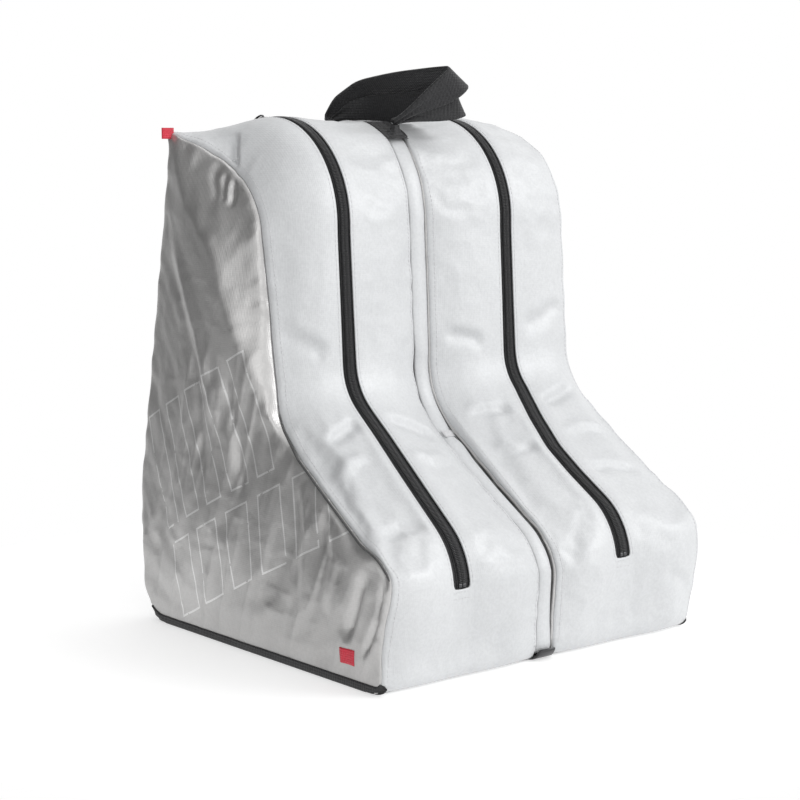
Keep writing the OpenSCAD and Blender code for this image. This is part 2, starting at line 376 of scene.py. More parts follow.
# How hard the filling pushes each node of an outer panel outwards
BULGE = {"left": 0.075, "right": 0.13}
# Below this height (mm) a side panel stands upright on the base
UPRIGHT = 9
# The half empty left shoulder reaches this far along the outline
SHOULDER = 190


def side_cap(side, loop, which):
    """Fills a side loop with a fine mesh and gives it the shape of the cloth there."""
    flat = loop[:, 1:]
    n = len(flat)
    _, normal = outline(np.arange(STATIONS) * STEP)
    ys = np.arange(-200, 180, CAP_PITCH)
    zs = np.arange(-5, 440, CAP_PITCH * 0.866)
    grid = np.array([(y + (k % 2) * CAP_PITCH / 2, z) for k, z in enumerate(zs) for y in ys])
    rng = np.random.RandomState(5 if side == "left" else 9)
    grid += rng.uniform(-CAP_JITTER, CAP_JITTER, grid.shape)
    grid = grid[inside(grid, flat)]
    grid = grid[distance_to_path(grid, flat, closed=True)[0] > CAP_PITCH]
    points = np.vstack([flat, flat - normal * CAP_RIM, grid])
    corners = [Vector(p) for p in points]
    _, _, faces, source, _, _ = delaunay_2d_cdt(corners, [], [list(range(n))], 1, 1e-5)
    faces = [[source[v][0] for v in f] for f in faces]

    edges = {tuple(sorted((f[k], f[(k + 1) % len(f)]))) for f in faces for k in range(len(f))}
    count = len(points)
    lap = np.zeros((count, count))
    for a, b in edges:
        lap[a, b] = lap[b, a] = 1
        lap[a, a] -= 1
        lap[b, b] -= 1
    x = np.zeros(count)
    fixed = np.zeros(count, bool)
    fixed[:n] = True
    x[:n] = loop[:, 0]
    low = (points[:, 1] < UPRIGHT) & ~fixed
    fixed |= low
    x[low] = SIGN[side] * (166.0 if which == "outer" else SEAM_X)
    load = np.zeros(count)
    if which == "outer":
        load[n:] = -SIGN[side] * BULGE[side]
        if side == "left":
            ridge = np.array(SIDE_RIDGE, float)
            gap, along, _, _ = distance_to_path(points, ridge[:, :2])
            on = (gap < RIDGE_HALF) & ~fixed
            x[on] = -np.interp(along[on], run_of(ridge[:, :2]), ridge[:, 2])
            fixed |= on
    free = ~fixed
    rhs = load[free] - lap[np.ix_(free, fixed)] @ x[fixed]
    x[free] = np.linalg.solve(lap[np.ix_(free, free)], rhs)
    full = np.c_[x, points]
    if inward(side, which) > 0:
        faces = [f[::-1] for f in faces]
    return full, faces


def compartment(side):
    """Closed mesh of one compartment: points (mm), faces, part of each face, and how
    firmly each point is held while the cloth relaxes."""
    rows = band(side)
    count, width = rows.shape[:2]
    points = [tuple(p) for p in rows.reshape(-1, 3)]
    faces, parts = [], []
    middle = width // 2
    s = np.arange(count) * STEP
    for i in range(count):
        nxt = (i + 1) % count
        mid = (s[i] + STEP / 2) % PERIMETER
        for j in range(width - 1):
            quad = [i * width + j, nxt * width + j, nxt * width + j + 1, i * width + j + 1]
            if side == "right":
                quad.reverse()
            part = FRONT
            if BASE_FRONT < mid < BASE_BACK:
                part = BASE
            elif mid >= BASE_BACK:
                part = BACK
            elif j in (middle - 1, middle) and ZIP_TOP < mid < ZIP_TOE:
                part = SLIT
            faces.append(quad)
            parts.append(part)
    hold = np.zeros((count, width))
    hold[:, 0] = hold[:, -1] = 1
    hold[:, 1] = hold[:, -2] = 0.8
    hold[s < ZIP_TOE + 8, middle - 3:middle + 4] = 1
    if side == "left":
        hold[s < SHOULDER, 2:middle - 3] = 0.5
    hold[(s > BASE_FRONT - 12) & (s < BASE_BACK + 8)] = 1
    hold = list(hold.reshape(-1))
    for which, column, label in (("outer", 0, OUTER), ("inner", width - 1, INNER)):
        ring = [i * width + column for i in range(count)]
        loop = np.array([points[k] for k in ring])
        cap, cap_faces = side_cap(side, loop, which)
        firmness = np.full(len(cap), 0.10)
        if side == "left" and which == "outer":
            ridge = np.array(SIDE_RIDGE, float)[:, :2]
            gap = distance_to_path(cap[:, 1:], ridge)[0]
            facet = inside(cap[:, 1:], np.vstack([ridge, loop[8:62, 1:][::-1]]))
            firmness[(gap < 5) | facet] = 0.55
        first = len(points)
        points += [tuple(p) for p in cap[count:]]
        for k in range(count, len(cap)):
            low = cap[k][2] < UPRIGHT
            hold.append(1.0 if low else (firmness[k] if which == "outer" else 0.85))
        for f in cap_faces:
            faces.append([ring[v] if v < count else first + v - count for v in f])
            parts.append(label)
    return np.array(points), faces, np.array(parts), np.array(hold)


def mesh_object(name, points, faces, parts=None):
    """A new object in the scene from points in millimetres."""
    mesh = bpy.data.meshes.new(name)
    mesh.from_pydata((np.asarray(points) * MM).tolist(), [], [list(map(int, f)) for f in faces])
    if parts is not None:
        for _ in range(6):
            mesh.materials.append(None)
        mesh.polygons.foreach_set("material_index", np.asarray(parts, np.int32))
    mesh.update()
    obj = bpy.data.objects.new(name, mesh)
    bpy.context.scene.collection.objects.link(obj)
    return obj


def read_mesh(obj):
    """Points (mm), faces and parts of an object with its modifiers applied."""
    graph = bpy.context.evaluated_depsgraph_get()
    graph.update()
    shaped = obj.evaluated_get(graph)
    mesh = shaped.to_mesh()
    co = np.zeros(len(mesh.vertices) * 3, np.float32)
    mesh.vertices.foreach_get("co", co)
    faces = [tuple(p.vertices) for p in mesh.polygons]
    parts = np.zeros(len(mesh.polygons), np.int32)
    mesh.polygons.foreach_get("material_index", parts)
    shaped.to_mesh_clear()
    return co.reshape(-1, 3).astype(float) / MM, faces, parts


def drop(obj):
    """Deletes an object and its mesh."""
    mesh = obj.data
    bpy.data.objects.remove(obj)
    bpy.data.meshes.remove(mesh)


def point_normals(points, faces):
    """Unit normals at the points, weighted by area."""
    total = np.zeros_like(points)
    by_size = {}
    for f in faces:
        by_size.setdefault(len(f), []).append(f)
    for size, group in by_size.items():
        group = np.array(group)
        a = points[group[:, 0]]
        for k in range(1, size - 1):
            n = np.cross(points[group[:, k]] - a, points[group[:, k + 1]] - a)
            for c in range(size):
                np.add.at(total, group[:, c], n)
    return unit(total)


# Frames for the cloth to settle in, and the furthest (mm) a point may move in them
RELAX_FRAMES = 18
MOST_MOVE = 9.0


def relax(side, points, faces, hold):
    """Lets the cloth settle under a little inner pressure, held at seams, zip and base."""
    obj = mesh_object("relaxing_" + side, points, faces)
    group = obj.vertex_groups.new(name="hold")
    loose = obj.vertex_groups.new(name="loose")
    for k, w in enumerate(hold):
        group.add([k], float(w), "REPLACE")
        loose.add([k], 0.3 if w < 0.05 else 0.6 if w < 0.3 else 0.0, "REPLACE")
    mod = obj.modifiers.new("Cloth", "CLOTH")
    cloth = mod.settings
    cloth.quality = 6
    cloth.mass = 0.25
    cloth.air_damping = 2
    cloth.tension_stiffness = cloth.compression_stiffness = 18
    cloth.shear_stiffness = 8
    cloth.bending_stiffness = 0.6
    cloth.vertex_group_mass = "hold"
    cloth.pin_stiffness = 1
    cloth.vertex_group_shrink = "loose"
    cloth.shrink_min = 0.0
    cloth.shrink_max = -0.035
    cloth.use_pressure = True
    cloth.uniform_pressure_force = 1.6
    cloth.effector_weights.gravity = 0.35
    scene = bpy.context.scene
    scene.frame_start, scene.frame_end = 1, RELAX_FRAMES
    mod.point_cache.frame_start, mod.point_cache.frame_end = 1, RELAX_FRAMES
    for k in range(1, RELAX_FRAMES + 1):
        scene.frame_set(k)
    settled = read_mesh(obj)[0]
    drop(obj)
    scene.frame_set(1)
    move = settled - points
    length = np.linalg.norm(move, axis=1)
    cap = MOST_MOVE * np.tanh(length / MOST_MOVE) / np.maximum(length, 1e-9)
    return points + move * cap[:, None]


def refine(side, points, faces, parts, seams, levels):
    """Subdivides the cloth, keeping a sharp line along the seams."""
    obj = mesh_object("refining_" + side, points, faces, parts)
    bm = bmesh.new()
    bm.from_mesh(obj.data)
    bm.faces.ensure_lookup_table()
    caps = [f for f in bm.faces if f.material_index in (OUTER, INNER)]
    bmesh.ops.join_triangles(bm, faces=caps, angle_face_threshold=0.6, angle_shape_threshold=0.9)
    crease = bm.edges.layers.float.get("crease_edge") or bm.edges.layers.float.new("crease_edge")
    on_seam = set(seams)
    for e in bm.edges:
        labels = {f.material_index for f in e.link_faces}
        a, b = e.verts[0].index, e.verts[1].index
        if a in on_seam and b in on_seam and len(labels) > 1:
            e[crease] = 1.0
        elif SLIT in labels and len(labels) > 1:
            e[crease] = 0.8
    bm.to_mesh(obj.data)
    bm.free()
    mod = obj.modifiers.new("Subdivision", "SUBSURF")
    mod.levels = mod.render_levels = levels
    result = read_mesh(obj)
    drop(obj)
    return result


def ridge_move(points, normals, path, height, width, side_step=0.0, flap=0.0):
    """Raises the cloth along a path (sinks it if height is below 0). side_step adds a
    step from one flank to the other, and flap sinks the cloth on one flank, with a
    steep edge along the path. All of it tapers at both ends."""
    path = np.array(path, float)
    box_low, box_high = path.min(0) - 4 * width, path.max(0) + 4 * width
    near = np.all((points > box_low) & (points < box_high), axis=1)
    if not near.any():
        return np.zeros_like(points)
    p, nrm = points[near], normals[near]
    gap, along, heading, nearest = distance_to_path(p, path)
    total = run_of(path)[-1]
    ends = ease(along / (total * 0.25)) * ease((total - along) / (total * 0.25))
    amount = height * np.exp(-((gap / width) ** 2))
    lateral = np.einsum("ij,ij->i", np.cross(nrm, heading), p - nearest)
    amount += side_step * (lateral / width) * np.exp(-((lateral / width) ** 2)) * 2.33
    amount -= flap * np.exp(np.minimum(lateral, 0) / width) * (1 - ease((lateral + 5.0) / 6.0))
    moved = np.zeros_like(points)
    moved[near] = nrm * (amount * ends)[:, None]
    return moved


# Folds of the cloth as (path, height, width, side step, flap), in mm; see ridge_move
FOLDS = {
    "left": [
        ([(-129, 56, 414), (-136, 48, 407), (-140, 42, 399), (-146, 32, 383)], 0.0, 7.0, 0.0, 15.0),
        ([(-153, 42, 382), (-158, 38, 370), (-162, 34, 360)], -2.0, 3.6, 1.2),
        ([(-150, 34, 376), (-154, 30, 364), (-157, 28, 354)], -2.2, 3.4, 1.2),
        ([(-158, 52, 386), (-163, 44, 374), (-167, 38, 362)], -1.4, 4.5, 0.8),
        ([(-170, 100, 330), (-171, 60, 250), (-171, 30, 160)], 2.2, 9.0, 1.5),
        ([(-170, 70, 260), (-171, 55, 200), (-171, 50, 130)], -2.0, 8.0, 1.2),
        ([(-171, 30, 240), (-172, 15, 190), (-171, 5, 120)], -2.4, 8.0, -1.2),
        ([(-168, -60, 150), (-171, -70, 110), (-171, -66, 60)], -2.4, 6.0, 1.4),
        ([(-168, -95, 130), (-170, -105, 95), (-170, -98, 50)], 2.0, 7.0, 1.2),
        ([(-166, -150, 92), (-168, -140, 60), (-168, -128, 30)], -3.0, 6.0, 1.6),
        ([(-166, -170, 88), (-168, -166, 55), (-167, -150, 22)], -2.4, 4.0, 1.5),
        ([(-140, -70, 178), (-120, -66, 184), (-100, -60, 190)], -3.6, 6.5, 1.8),
        ([(-150, -100, 148), (-132, -92, 160), (-112, -90, 165)], 2.6, 7.0, 1.4),
        ([(-76, -60, 190), (-50, -66, 184), (-24, -76, 174)], -3.2, 6.5, 1.8),
        ([(-78, -96, 162), (-56, -100, 158), (-30, -98, 162)], 2.4, 7.0, 1.6),
        ([(-146, -30, 262), (-124, -34, 250), (-106, -36, 240)], -2.6, 8.0, 1.4),
        ([(-150, -150, 118), (-128, -146, 122), (-108, -150, 116)], -2.8, 7.0, 1.4),
        ([(-158, -186, 24), (-100, -189, 20), (-30, -186, 26)], -5.5, 17.0),
    ],
    "right": [
        ([(20, -58, 190), (40, -60, 188), (62, -64, 186)], -3.4, 6.0, 1.4),
        ([(92, -66, 188), (120, -60, 192), (150, -52, 200)], -4.0, 6.5, 2.0),
        ([(92, -96, 164), (122, -92, 170), (154, -98, 166)], 3.2, 7.0, 1.6),
        ([(88, -128, 140), (116, -126, 144), (150, -134, 136)], -3.2, 6.0, 1.6),
        ([(20, -92, 164), (38, -98, 160), (58, -100, 160)], -2.6, 6.0, 1.4),
        ([(18, -30, 250), (40, -34, 246), (60, -36, 240)], -2.4, 7.0, 1.4),
        ([(100, -34, 250), (124, -32, 258), (150, -28, 270)], -2.6, 8.0, 1.4),
        ([(120, -188, 60), (140, -190, 50), (160, -186, 40)], -1.8, 7.0, 1.0),
        ([(24, -186, 26), (80, -189, 20), (140, -186, 30)], -4.5, 16.0),
        ([(168, 100, 330), (170, 60, 250), (170, 30, 160)], 2.0, 9.0, 1.5),
        ([(170, 30, 240), (171, 10, 190), (170, -10, 120)], -2.2, 8.0, -1.2),
        ([(168, -70, 150), (171, -84, 100), (170, -70, 50)], -2.2, 7.0, 1.2),
    ],
}


# Depth (mm) of the dip in the top cloth where a fallen loop's edge lies on it
LOOP_DENT = 4.0


def wrinkle(side, points, faces, seed):
    """Creases, puckers along the seams and soft dents in the settled cloth."""
    normals = point_normals(points, faces)
    s = np.arange(0, PERIMETER, 4.0)
    outer = seam_points(side, "outer", s)
    inner = seam_points(side, "inner", s)
    gap_o, along, _, _ = distance_to_path(points, outer[::2], closed=True)
    gap = np.minimum(gap_o, distance_to_path(points, inner[::2], closed=True)[0])
    on_base = points[:, 2] < 14
    zip_s = np.arange(0, ZIP_TOE + 12, 4.0)
    zip_path = on_outline(zip_s, 0.0, 0.0)
    zip_path[:, 0] = SIGN[side] * zip_offset(side, zip_s)
    by_zip = ease((distance_to_path(points, zip_path)[0] - 11) / 12)
    free = ease((gap - 1.5) / 8) * by_zip * ease((points[:, 2] - 2) / 16)

    on_side = np.clip((np.abs(normals[:, 0]) - 0.5) / 0.3, 0, 1)
    low_side = on_side * ease((285 - points[:, 2]) / 90)
    on_back = np.clip((normals[:, 1] - 0.6) / 0.3, 0, 1)
    on_toe = (1 - on_side) * (1 - on_back) * ease((160 - points[:, 2]) / 70)
    # Broad dents
    soft = noise3(points, 1 / 62, seed) * 1.3 + noise3(points, 1 / 31, seed + 1) * 0.6
    soft *= 0.42 + 0.45 * low_side
    # Folds that run down the cloth, leaning forward, and narrow ones between them
    lean = points * np.array([1.0, 1.0, 0.20])
    lean[:, 1] += points[:, 2] * 0.30
    drape = 1 - np.abs(noise3(lean, 1 / 24, seed + 2)) * 2
    narrow = 1 - np.abs(noise3(lean, 1 / 13, seed + 5)) * 2.4
    # Short creases that run any way
    crisp = 1 - np.abs(noise3(points, 1 / 17, seed + 3)) * 2
    amount = soft + on_back * (soft * 0.5 + drape * 0.4) + crisp * 0.2
    amount += (0.2 * on_side + 0.9 * low_side) * drape + low_side * narrow * 0.6
    amount += on_toe * (soft * 1.3 + crisp * 0.25)
    # Small gathers beside the seams
    pucker = np.sin(along / 5.2 + noise3(points, 1 / 40, seed + 4) * 4)
    pucker *= np.exp(-((gap - 3) / 9) ** 2) * 0.32
    moved = points + normals * ((amount * free + pucker * ~on_base)[:, None])
    by_seam = 0.25 + 0.75 * ease(gap / 8)
    for fold in FOLDS[side]:
        moved += ridge_move(points, normals, *fold) * by_seam[:, None]
    dent = np.exp(-((np.abs(moved[:, 0]) - 33) / 15) ** 2 - ((moved[:, 1] - 63) / 24) ** 2)
    moved[:, 2] -= LOOP_DENT * dent * ease((moved[:, 2] - 370) / 30)
    return moved


def tuck(points, faces, seams, depth):
    """Pulls the seam lines in, so that each panel rolls into the seam."""
    normals = point_normals(points, faces)
    points = points.copy()
    points[seams] -= normals[seams] * depth
    return points


def build_compartment(side):
    """The finished cloth of one compartment: points (mm), faces and parts."""
    points, faces, parts, hold = compartment(side)
    width = 2 * len(HALF_COLUMNS) + 1
    seams = [i * width for i in range(STATIONS)] + [i * width + width - 1 for i in range(STATIONS)]
    rng = np.random.RandomState(3 if side == "left" else 4)
    start = points + rng.uniform(-0.35, 0.35, points.shape) * (hold < 0.5)[:, None]
    points = relax(side, start, faces, hold)
    raised = [k for k in seams if points[k][2] > 3]
    points = tuck(points, faces, raised, 1.9)
    points, faces, parts = refine(side, points, faces, parts, seams, 2)
    points = wrinkle(side, points, faces, 20 if side == "left" else 60)
    return points, faces, parts


# ---------------------------------------------------------------- materials
def new_material(name):
    """A new material with its node tree and its Principled shader."""
    mat = bpy.data.materials.new(name)
    mat.use_nodes = True
    tree = mat.node_tree
    bsdf = tree.nodes["Principled BSDF"]
    return mat, tree, bsdf


def node(tree, kind, **values):
    """A new node, with values for its inputs or its settings."""
    made = tree.nodes.new(kind)
    for key, value in values.items():
        if key in made.inputs:
            made.inputs[key].default_value = value
        else:
            setattr(made, key, value)
    return made


def link(tree, a, out, b, into):
    """Joins an output of node a to an input of node b."""
    tree.links.new(a.outputs[out], b.inputs[into])


def maths(tree, operation, *values):
    """A maths node of one or two inputs, each a number or a node's output socket."""
    made = node(tree, "ShaderNodeMath", operation=operation)
    for k, value in enumerate(values):
        if isinstance(value, (int, float)):
            made.inputs[k].default_value = value
        else:
            tree.links.new(value, made.inputs[k])
    return made.outputs[0]


def place(tree, scale=(1, 1, 1), rotation=(0, 0, 0)):
    """Object coordinates in metres, scaled and turned."""
    coord = node(tree, "ShaderNodeTexCoord")
    turn = node(tree, "ShaderNodeMapping", Scale=scale, Rotation=rotation)
    link(tree, coord, "Object", turn, "Vector")
    return turn.outputs[0]


def noise_out(tree, vector, scale, detail, rough=0.5, distortion=0.0):
    """The value of a noise texture."""
    made = node(
        tree, "ShaderNodeTexNoise", Scale=scale, Detail=detail, Roughness=rough, Distortion=distortion
    )
    tree.links.new(vector, made.inputs["Vector"])
    return made.outputs["Fac"]


def ramp(tree, value, stops):
    """A colour that goes from one (position, colour) stop to the other."""
    made = node(tree, "ShaderNodeValToRGB")
    tree.links.new(value, made.inputs["Fac"])
    for element, (at, colour) in zip(made.color_ramp.elements, stops):
        element.position = at
        element.color = (*colour, 1)
    return made.outputs["Color"]


def spread(tree, value, low, high):
    """Takes a value from 0 to 1 onto low to high."""
    made = node(tree, "ShaderNodeMapRange")
    made.inputs["To Min"].default_value = low
    made.inputs["To Max"].default_value = high
    tree.links.new(value, made.inputs["Value"])
    return made.outputs["Result"]


def mix(tree, factor, first, second, blend="MIX"):
    """Mixes the colour second into first; the factor is a number or a node's output."""
    made = node(tree, "ShaderNodeMix", data_type="RGBA", blend_type=blend)
    if isinstance(factor, float):
        made.inputs["Factor"].default_value = factor
    else:
        tree.links.new(factor, made.inputs["Factor"])
    tree.links.new(first, made.inputs["A"])
    if isinstance(second, tuple):
        made.inputs["B"].default_value = (*second, 1)
    else:
        tree.links.new(second, made.inputs["B"])
    return made.outputs["Result"]


def bump(tree, height, strength, distance, normal=None):
    """The normal of a height, laid over another normal if one is given."""
    made = node(tree, "ShaderNodeBump", Strength=strength, Distance=distance)
    tree.links.new(height, made.inputs["Height"])
    if normal is not None:
        tree.links.new(normal, made.inputs["Normal"])
    return made.outputs["Normal"]


def weave_height(tree, pitch):
    """Height of a plain weave of the given thread pitch (m), from three crossed waves."""
    total = None
    scale = 1 / (pitch * 20) * 6.2832 / 2
    for axis in ("X", "Y", "Z"):
        wave = node(
            tree, "ShaderNodeTexWave", wave_type="BANDS", bands_direction=axis, Scale=scale, Distortion=0.0
        )
        tree.links.new(place(tree), wave.inputs["Vector"])
        total = wave.outputs["Fac"] if total is None else maths(tree, "ADD", total, wave.outputs["Fac"])
    return total


def nylon(name, dark, light, metallic, roughness, crinkle, sheen, prints=()):
    """Coated nylon: fine weave, crinkled coating and slow colour changes."""
    mat, tree, bsdf = new_material(name)
    vector = place(tree)
    slow = noise_out(tree, vector, 9, 3, 0.55)
    colour = ramp(tree, slow, [(0.30, dark), (0.72, light)])
    fine = noise_out(tree, vector, 420, 2, 0.6)
    speck = ramp(tree, fine, [(0.35, (0.93, 0.93, 0.93)), (0.65, (1.0, 1.0, 1.0))])
    result = mix(tree, 1.0, colour, speck, "MULTIPLY")
    for spec in prints:
        result = print_over(tree, result, spec)
    tree.links.new(result, bsdf.inputs["Base Color"])
    bsdf.inputs["Metallic"].default_value = metallic
    rough = spread(tree, noise_out(tree, vector, 30, 3), roughness - 0.06, roughness + 0.10)
    tree.links.new(rough, bsdf.inputs["Roughness"])
    bsdf.inputs["Sheen Weight"].default_value = sheen
    bsdf.inputs["Sheen Roughness"].default_value = 0.4
    crease = noise_out(tree, vector, 55, 5, 0.62, 0.6)
    first = bump(tree, crease, crinkle, 0.0016)
    second = bump(tree, weave_height(tree, 0.0008), 0.25, 0.00010, first)
    tree.links.new(second, bsdf.inputs["Normal"])
    return mat


def print_over(tree, base, spec):
    """Adds a row of slanted outlined blocks, printed in a pale line, to the colour base."""
    turned = place(tree, rotation=(math.radians(PRINT_TURN), 0, 0))
    split = node(tree, "ShaderNodeSeparateXYZ")
    tree.links.new(turned, split.inputs[0])
    along, up = split.outputs["Y"], split.outputs["Z"]

    def calc(operation, *values):
        """A maths node in this material."""
        return maths(tree, operation, *values)

    up = calc("SUBTRACT", up, spec["base"])
    along = calc("ADD", along, calc("MULTIPLY", up, spec["slant"]))
    cell_w, cell_h = spec["cell"]
    row = calc("DIVIDE", up, cell_h)
    row_shift = calc("MULTIPLY", calc("FLOOR", row), 0.37)
    shifted = calc("ADD", calc("DIVIDE", along, cell_w), row_shift)
    column = calc("FLOOR", shifted)
    u = calc("ABSOLUTE", calc("SUBTRACT", calc("FRACT", shifted), 0.5))
    v = calc("ABSOLUTE", calc("SUBTRACT", calc("FRACT", row), 0.5))
    du = calc("MULTIPLY", calc("SUBTRACT", u, spec["fill"][0] / 2), cell_w)
    dv = calc("MULTIPLY", calc("SUBTRACT", v, spec["fill"][1] / 2), cell_h)
    edge = calc("ABSOLUTE", calc("MAXIMUM", du, dv))
    line = calc("LESS_THAN", edge, PRINT_LINE)
    low, high = spec["reach"]
    rows = calc("MULTIPLY", calc("GREATER_THAN", row, 0.0), calc("LESS_THAN", row, 1.0))
    columns = calc("MULTIPLY", calc("GREATER_THAN", column, low - 0.5), calc("LESS_THAN", column, high + 0.5))
    worn = calc("GREATER_THAN", noise_out(tree, place(tree), 90, 3, 0.6), 0.36)
    worn = calc("MULTIPLY", worn, PRINT_STRENGTH)
    mask = calc("MULTIPLY", calc("MULTIPLY", line, rows), calc("MULTIPLY", columns, worn))
    return mix(tree, mask, base, PRINT_COLOUR)


def webbing_material(name, dark, light, pitch=0.0011, roughness=0.62):
    """Woven polyester tape: ribs across, thread speckle and a soft sheen."""
    mat, tree, bsdf = new_material(name)
    vector = place(tree)
    fine = noise_out(tree, vector, 900, 2, 0.6)
    tree.links.new(ramp(tree, fine, [(0.3, dark), (0.7, light)]), bsdf.inputs["Base Color"])
    bsdf.inputs["Roughness"].default_value = roughness
    bsdf.inputs["Sheen Weight"].default_value = 0.12
    first = bump(tree, noise_out(tree, vector, 300, 3, 0.6), 0.4, 0.0004)
    second = bump(tree, weave_height(tree, pitch), 0.55, 0.00035, first)
    tree.links.new(second, bsdf.inputs["Normal"])
    return mat


def metal_material(name, colour, roughness):
    """Cast zinc alloy with a satin plated finish and faint scratches."""
    mat, tree, bsdf = new_material(name)
    vector = place(tree)
    worn = noise_out(tree, vector, 260, 4, 0.6)
    bright = tuple(min(1.0, c * 1.7 + 0.03) for c in colour)
    tree.links.new(ramp(tree, worn, [(0.35, colour), (0.8, bright)]), bsdf.inputs["Base Color"])
    bsdf.inputs["Metallic"].default_value = 0.85
    rough = spread(tree, worn, roughness - 0.08, roughness + 0.15)
    tree.links.new(rough, bsdf.inputs["Roughness"])
    scratch = noise_out(tree, place(tree, scale=(1, 6, 1)), 500, 3, 0.6)
    tree.links.new(bump(tree, scratch, 0.2, 0.0002), bsdf.inputs["Normal"])
    return mat


def plain_material(name, dark, light, roughness, grain, depth):
    """A matte moulded or thread surface with grain."""
    mat, tree, bsdf = new_material(name)
    vector = place(tree)
    value = noise_out(tree, vector, grain, 4, 0.6)
    tree.links.new(ramp(tree, value, [(0.3, dark), (0.7, light)]), bsdf.inputs["Base Color"])
    bsdf.inputs["Roughness"].default_value = roughness
    tree.links.new(bump(tree, value, 0.5, depth), bsdf.inputs["Normal"])
    return mat


# The printed design: its turn in degrees, its line's half width in metres, and its rows
# of cells, with sizes in metres, fill as parts of a cell and reach as cell numbers
PRINT_TURN = 26
PRINT_LINE = 0.0008
PRINT_STRENGTH = 0.62
PRINT_COLOUR = (0.92, 0.92, 0.92)
SIDE_PRINT = [
    {"base": 0.045, "slant": 0.30, "cell": (0.043, 0.070), "fill": (0.66, 0.84), "reach": (-4, 1)},
    {"base": 0.118, "slant": 0.12, "cell": (0.034, 0.105), "fill": (0.60, 0.90), "reach": (-3, 1)},
]

# Darkest and lightest tone of the side panels' coated cloth
SIDE_TONES = ((0.50, 0.495, 0.49), (0.60, 0.595, 0.59))
MAT = {
    "front": nylon("shell_nylon", (0.54, 0.55, 0.56), (0.61, 0.62, 0.63), 0.12, 0.50, 0.26, 0.20),
    "side": nylon("side_nylon_printed", *SIDE_TONES, 0.72, 0.36, 0.22, 0.04, SIDE_PRINT),
    "side_plain": nylon("side_nylon", *SIDE_TONES, 0.72, 0.36, 0.22, 0.04),
    "base": nylon("base_cloth", (0.016, 0.016, 0.018), (0.028, 0.028, 0.030), 0.0, 0.62, 0.25, 0.3),
    "webbing": webbing_material("webbing", (0.008, 0.008, 0.009), (0.026, 0.026, 0.028)),
    "tape": webbing_material("zip_tape", (0.008, 0.008, 0.009), (0.022, 0.022, 0.024), 0.0007, 0.7),
    "coil": plain_material("zip_coil", (0.012, 0.012, 0.013), (0.035, 0.035, 0.037), 0.34, 900, 0.0001),
    "seam": webbing_material("seam_tape", (0.05, 0.05, 0.05), (0.09, 0.09, 0.09), 0.0008),
    "metal": metal_material("zip_metal", (0.06, 0.06, 0.063), 0.36),
    "board": plain_material("board", (0.36, 0.26, 0.17), (0.50, 0.38, 0.26), 0.85, 240, 0.0004),
    "red": webbing_material("red_tape", (0.50, 0.014, 0.035), (0.68, 0.035, 0.065), 0.0009),
    "thread": plain_material("thread_grey", (0.50, 0.50, 0.51), (0.66, 0.66, 0.67), 0.6, 1500, 0.0001),
    "dark_thread": plain_material(
        "thread_black", (0.015, 0.015, 0.016), (0.045, 0.045, 0.047), 0.55, 1500, 0.0001
    ),
}


# ---------------------------------------------------------------- pieces
def finish_piece(obj, material, body, replaces=(), smooth=True):
    """Gives a piece its material and slot, and rides it on its body."""
    obj.data.materials.clear()
    obj.data.materials.append(MAT[material])
    if smooth:
        obj.data.polygons.foreach_set("use_smooth", [True] * len(obj.data.polygons))
    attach(obj, body)
    if replaces:
        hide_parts(*replaces)
    return obj


def submesh(points, faces):
    """Only the points that the faces use."""
    used = sorted({v for f in faces for v in f})
    index = {v: k for k, v in enumerate(used)}
    return points[used], [[index[v] for v in f] for f in faces]


def thicken(obj):
    """Gives cloth its thickness on the inside."""
    mod = obj.modifiers.new("Thickness", "SOLIDIFY")
    mod.thickness = CLOTH_THICK * MM
    mod.offset = -1
    mod.use_even_offset = False


CLOTH = {side: build_compartment(side) for side in SIDES}
SURFACE = {
    side: BVHTree.FromPolygons([Vector(p) for p in points], faces)
    for side, (points, faces, _) in CLOTH.items()
}
CLOTH_THICK = 1.2


def make_panels():
    """The four cloth panels of each compartment."""
    wanted = {
        FRONT: ("front_panel", "front", "shell_nylon"), BACK: ("back_panel", "front", "shell_nylon"),
        OUTER: ("outer_panel", "side", "side_nylon"), INNER: ("inner_panel", "side_plain", "side_nylon"),
    }
    for side in SIDES:
        points, faces, parts = CLOTH[side]
        for label, (name, material, slot) in wanted.items():
            chosen = [faces[k] for k in np.flatnonzero(parts == label)]
            if label == OUTER and side == "right":
                material = "side_plain"
            p, f = submesh(points, chosen)
            obj = mesh_object(f"{side}_{name}_cloth", p, f)
            thicken(obj)
            finish_piece(obj, material, "bag", [f"{side}_{name}"])


make_panels()


# ---------------------------------------------------------------- sweeps and plates
def skin(rings, closed_run=False):
    """Points and faces of a tube through equal rings, capped unless it runs in a circle."""
    rings = [np.asarray(r, float) for r in rings]
    k = len(rings[0])
    points = np.vstack(rings)
    faces = []
    turns = len(rings) if closed_run else len(rings) - 1
    for i in range(turns):
        a, b = i * k, ((i + 1) % len(rings)) * k
        for j in range(k):
            n = (j + 1) % k
            faces.append([a + j, a + n, b + n, b + j])
    if not closed_run:
        faces.append(list(range(k))[::-1])
        faces.append([len(points) - k + j for j in range(k)])
    return points, faces


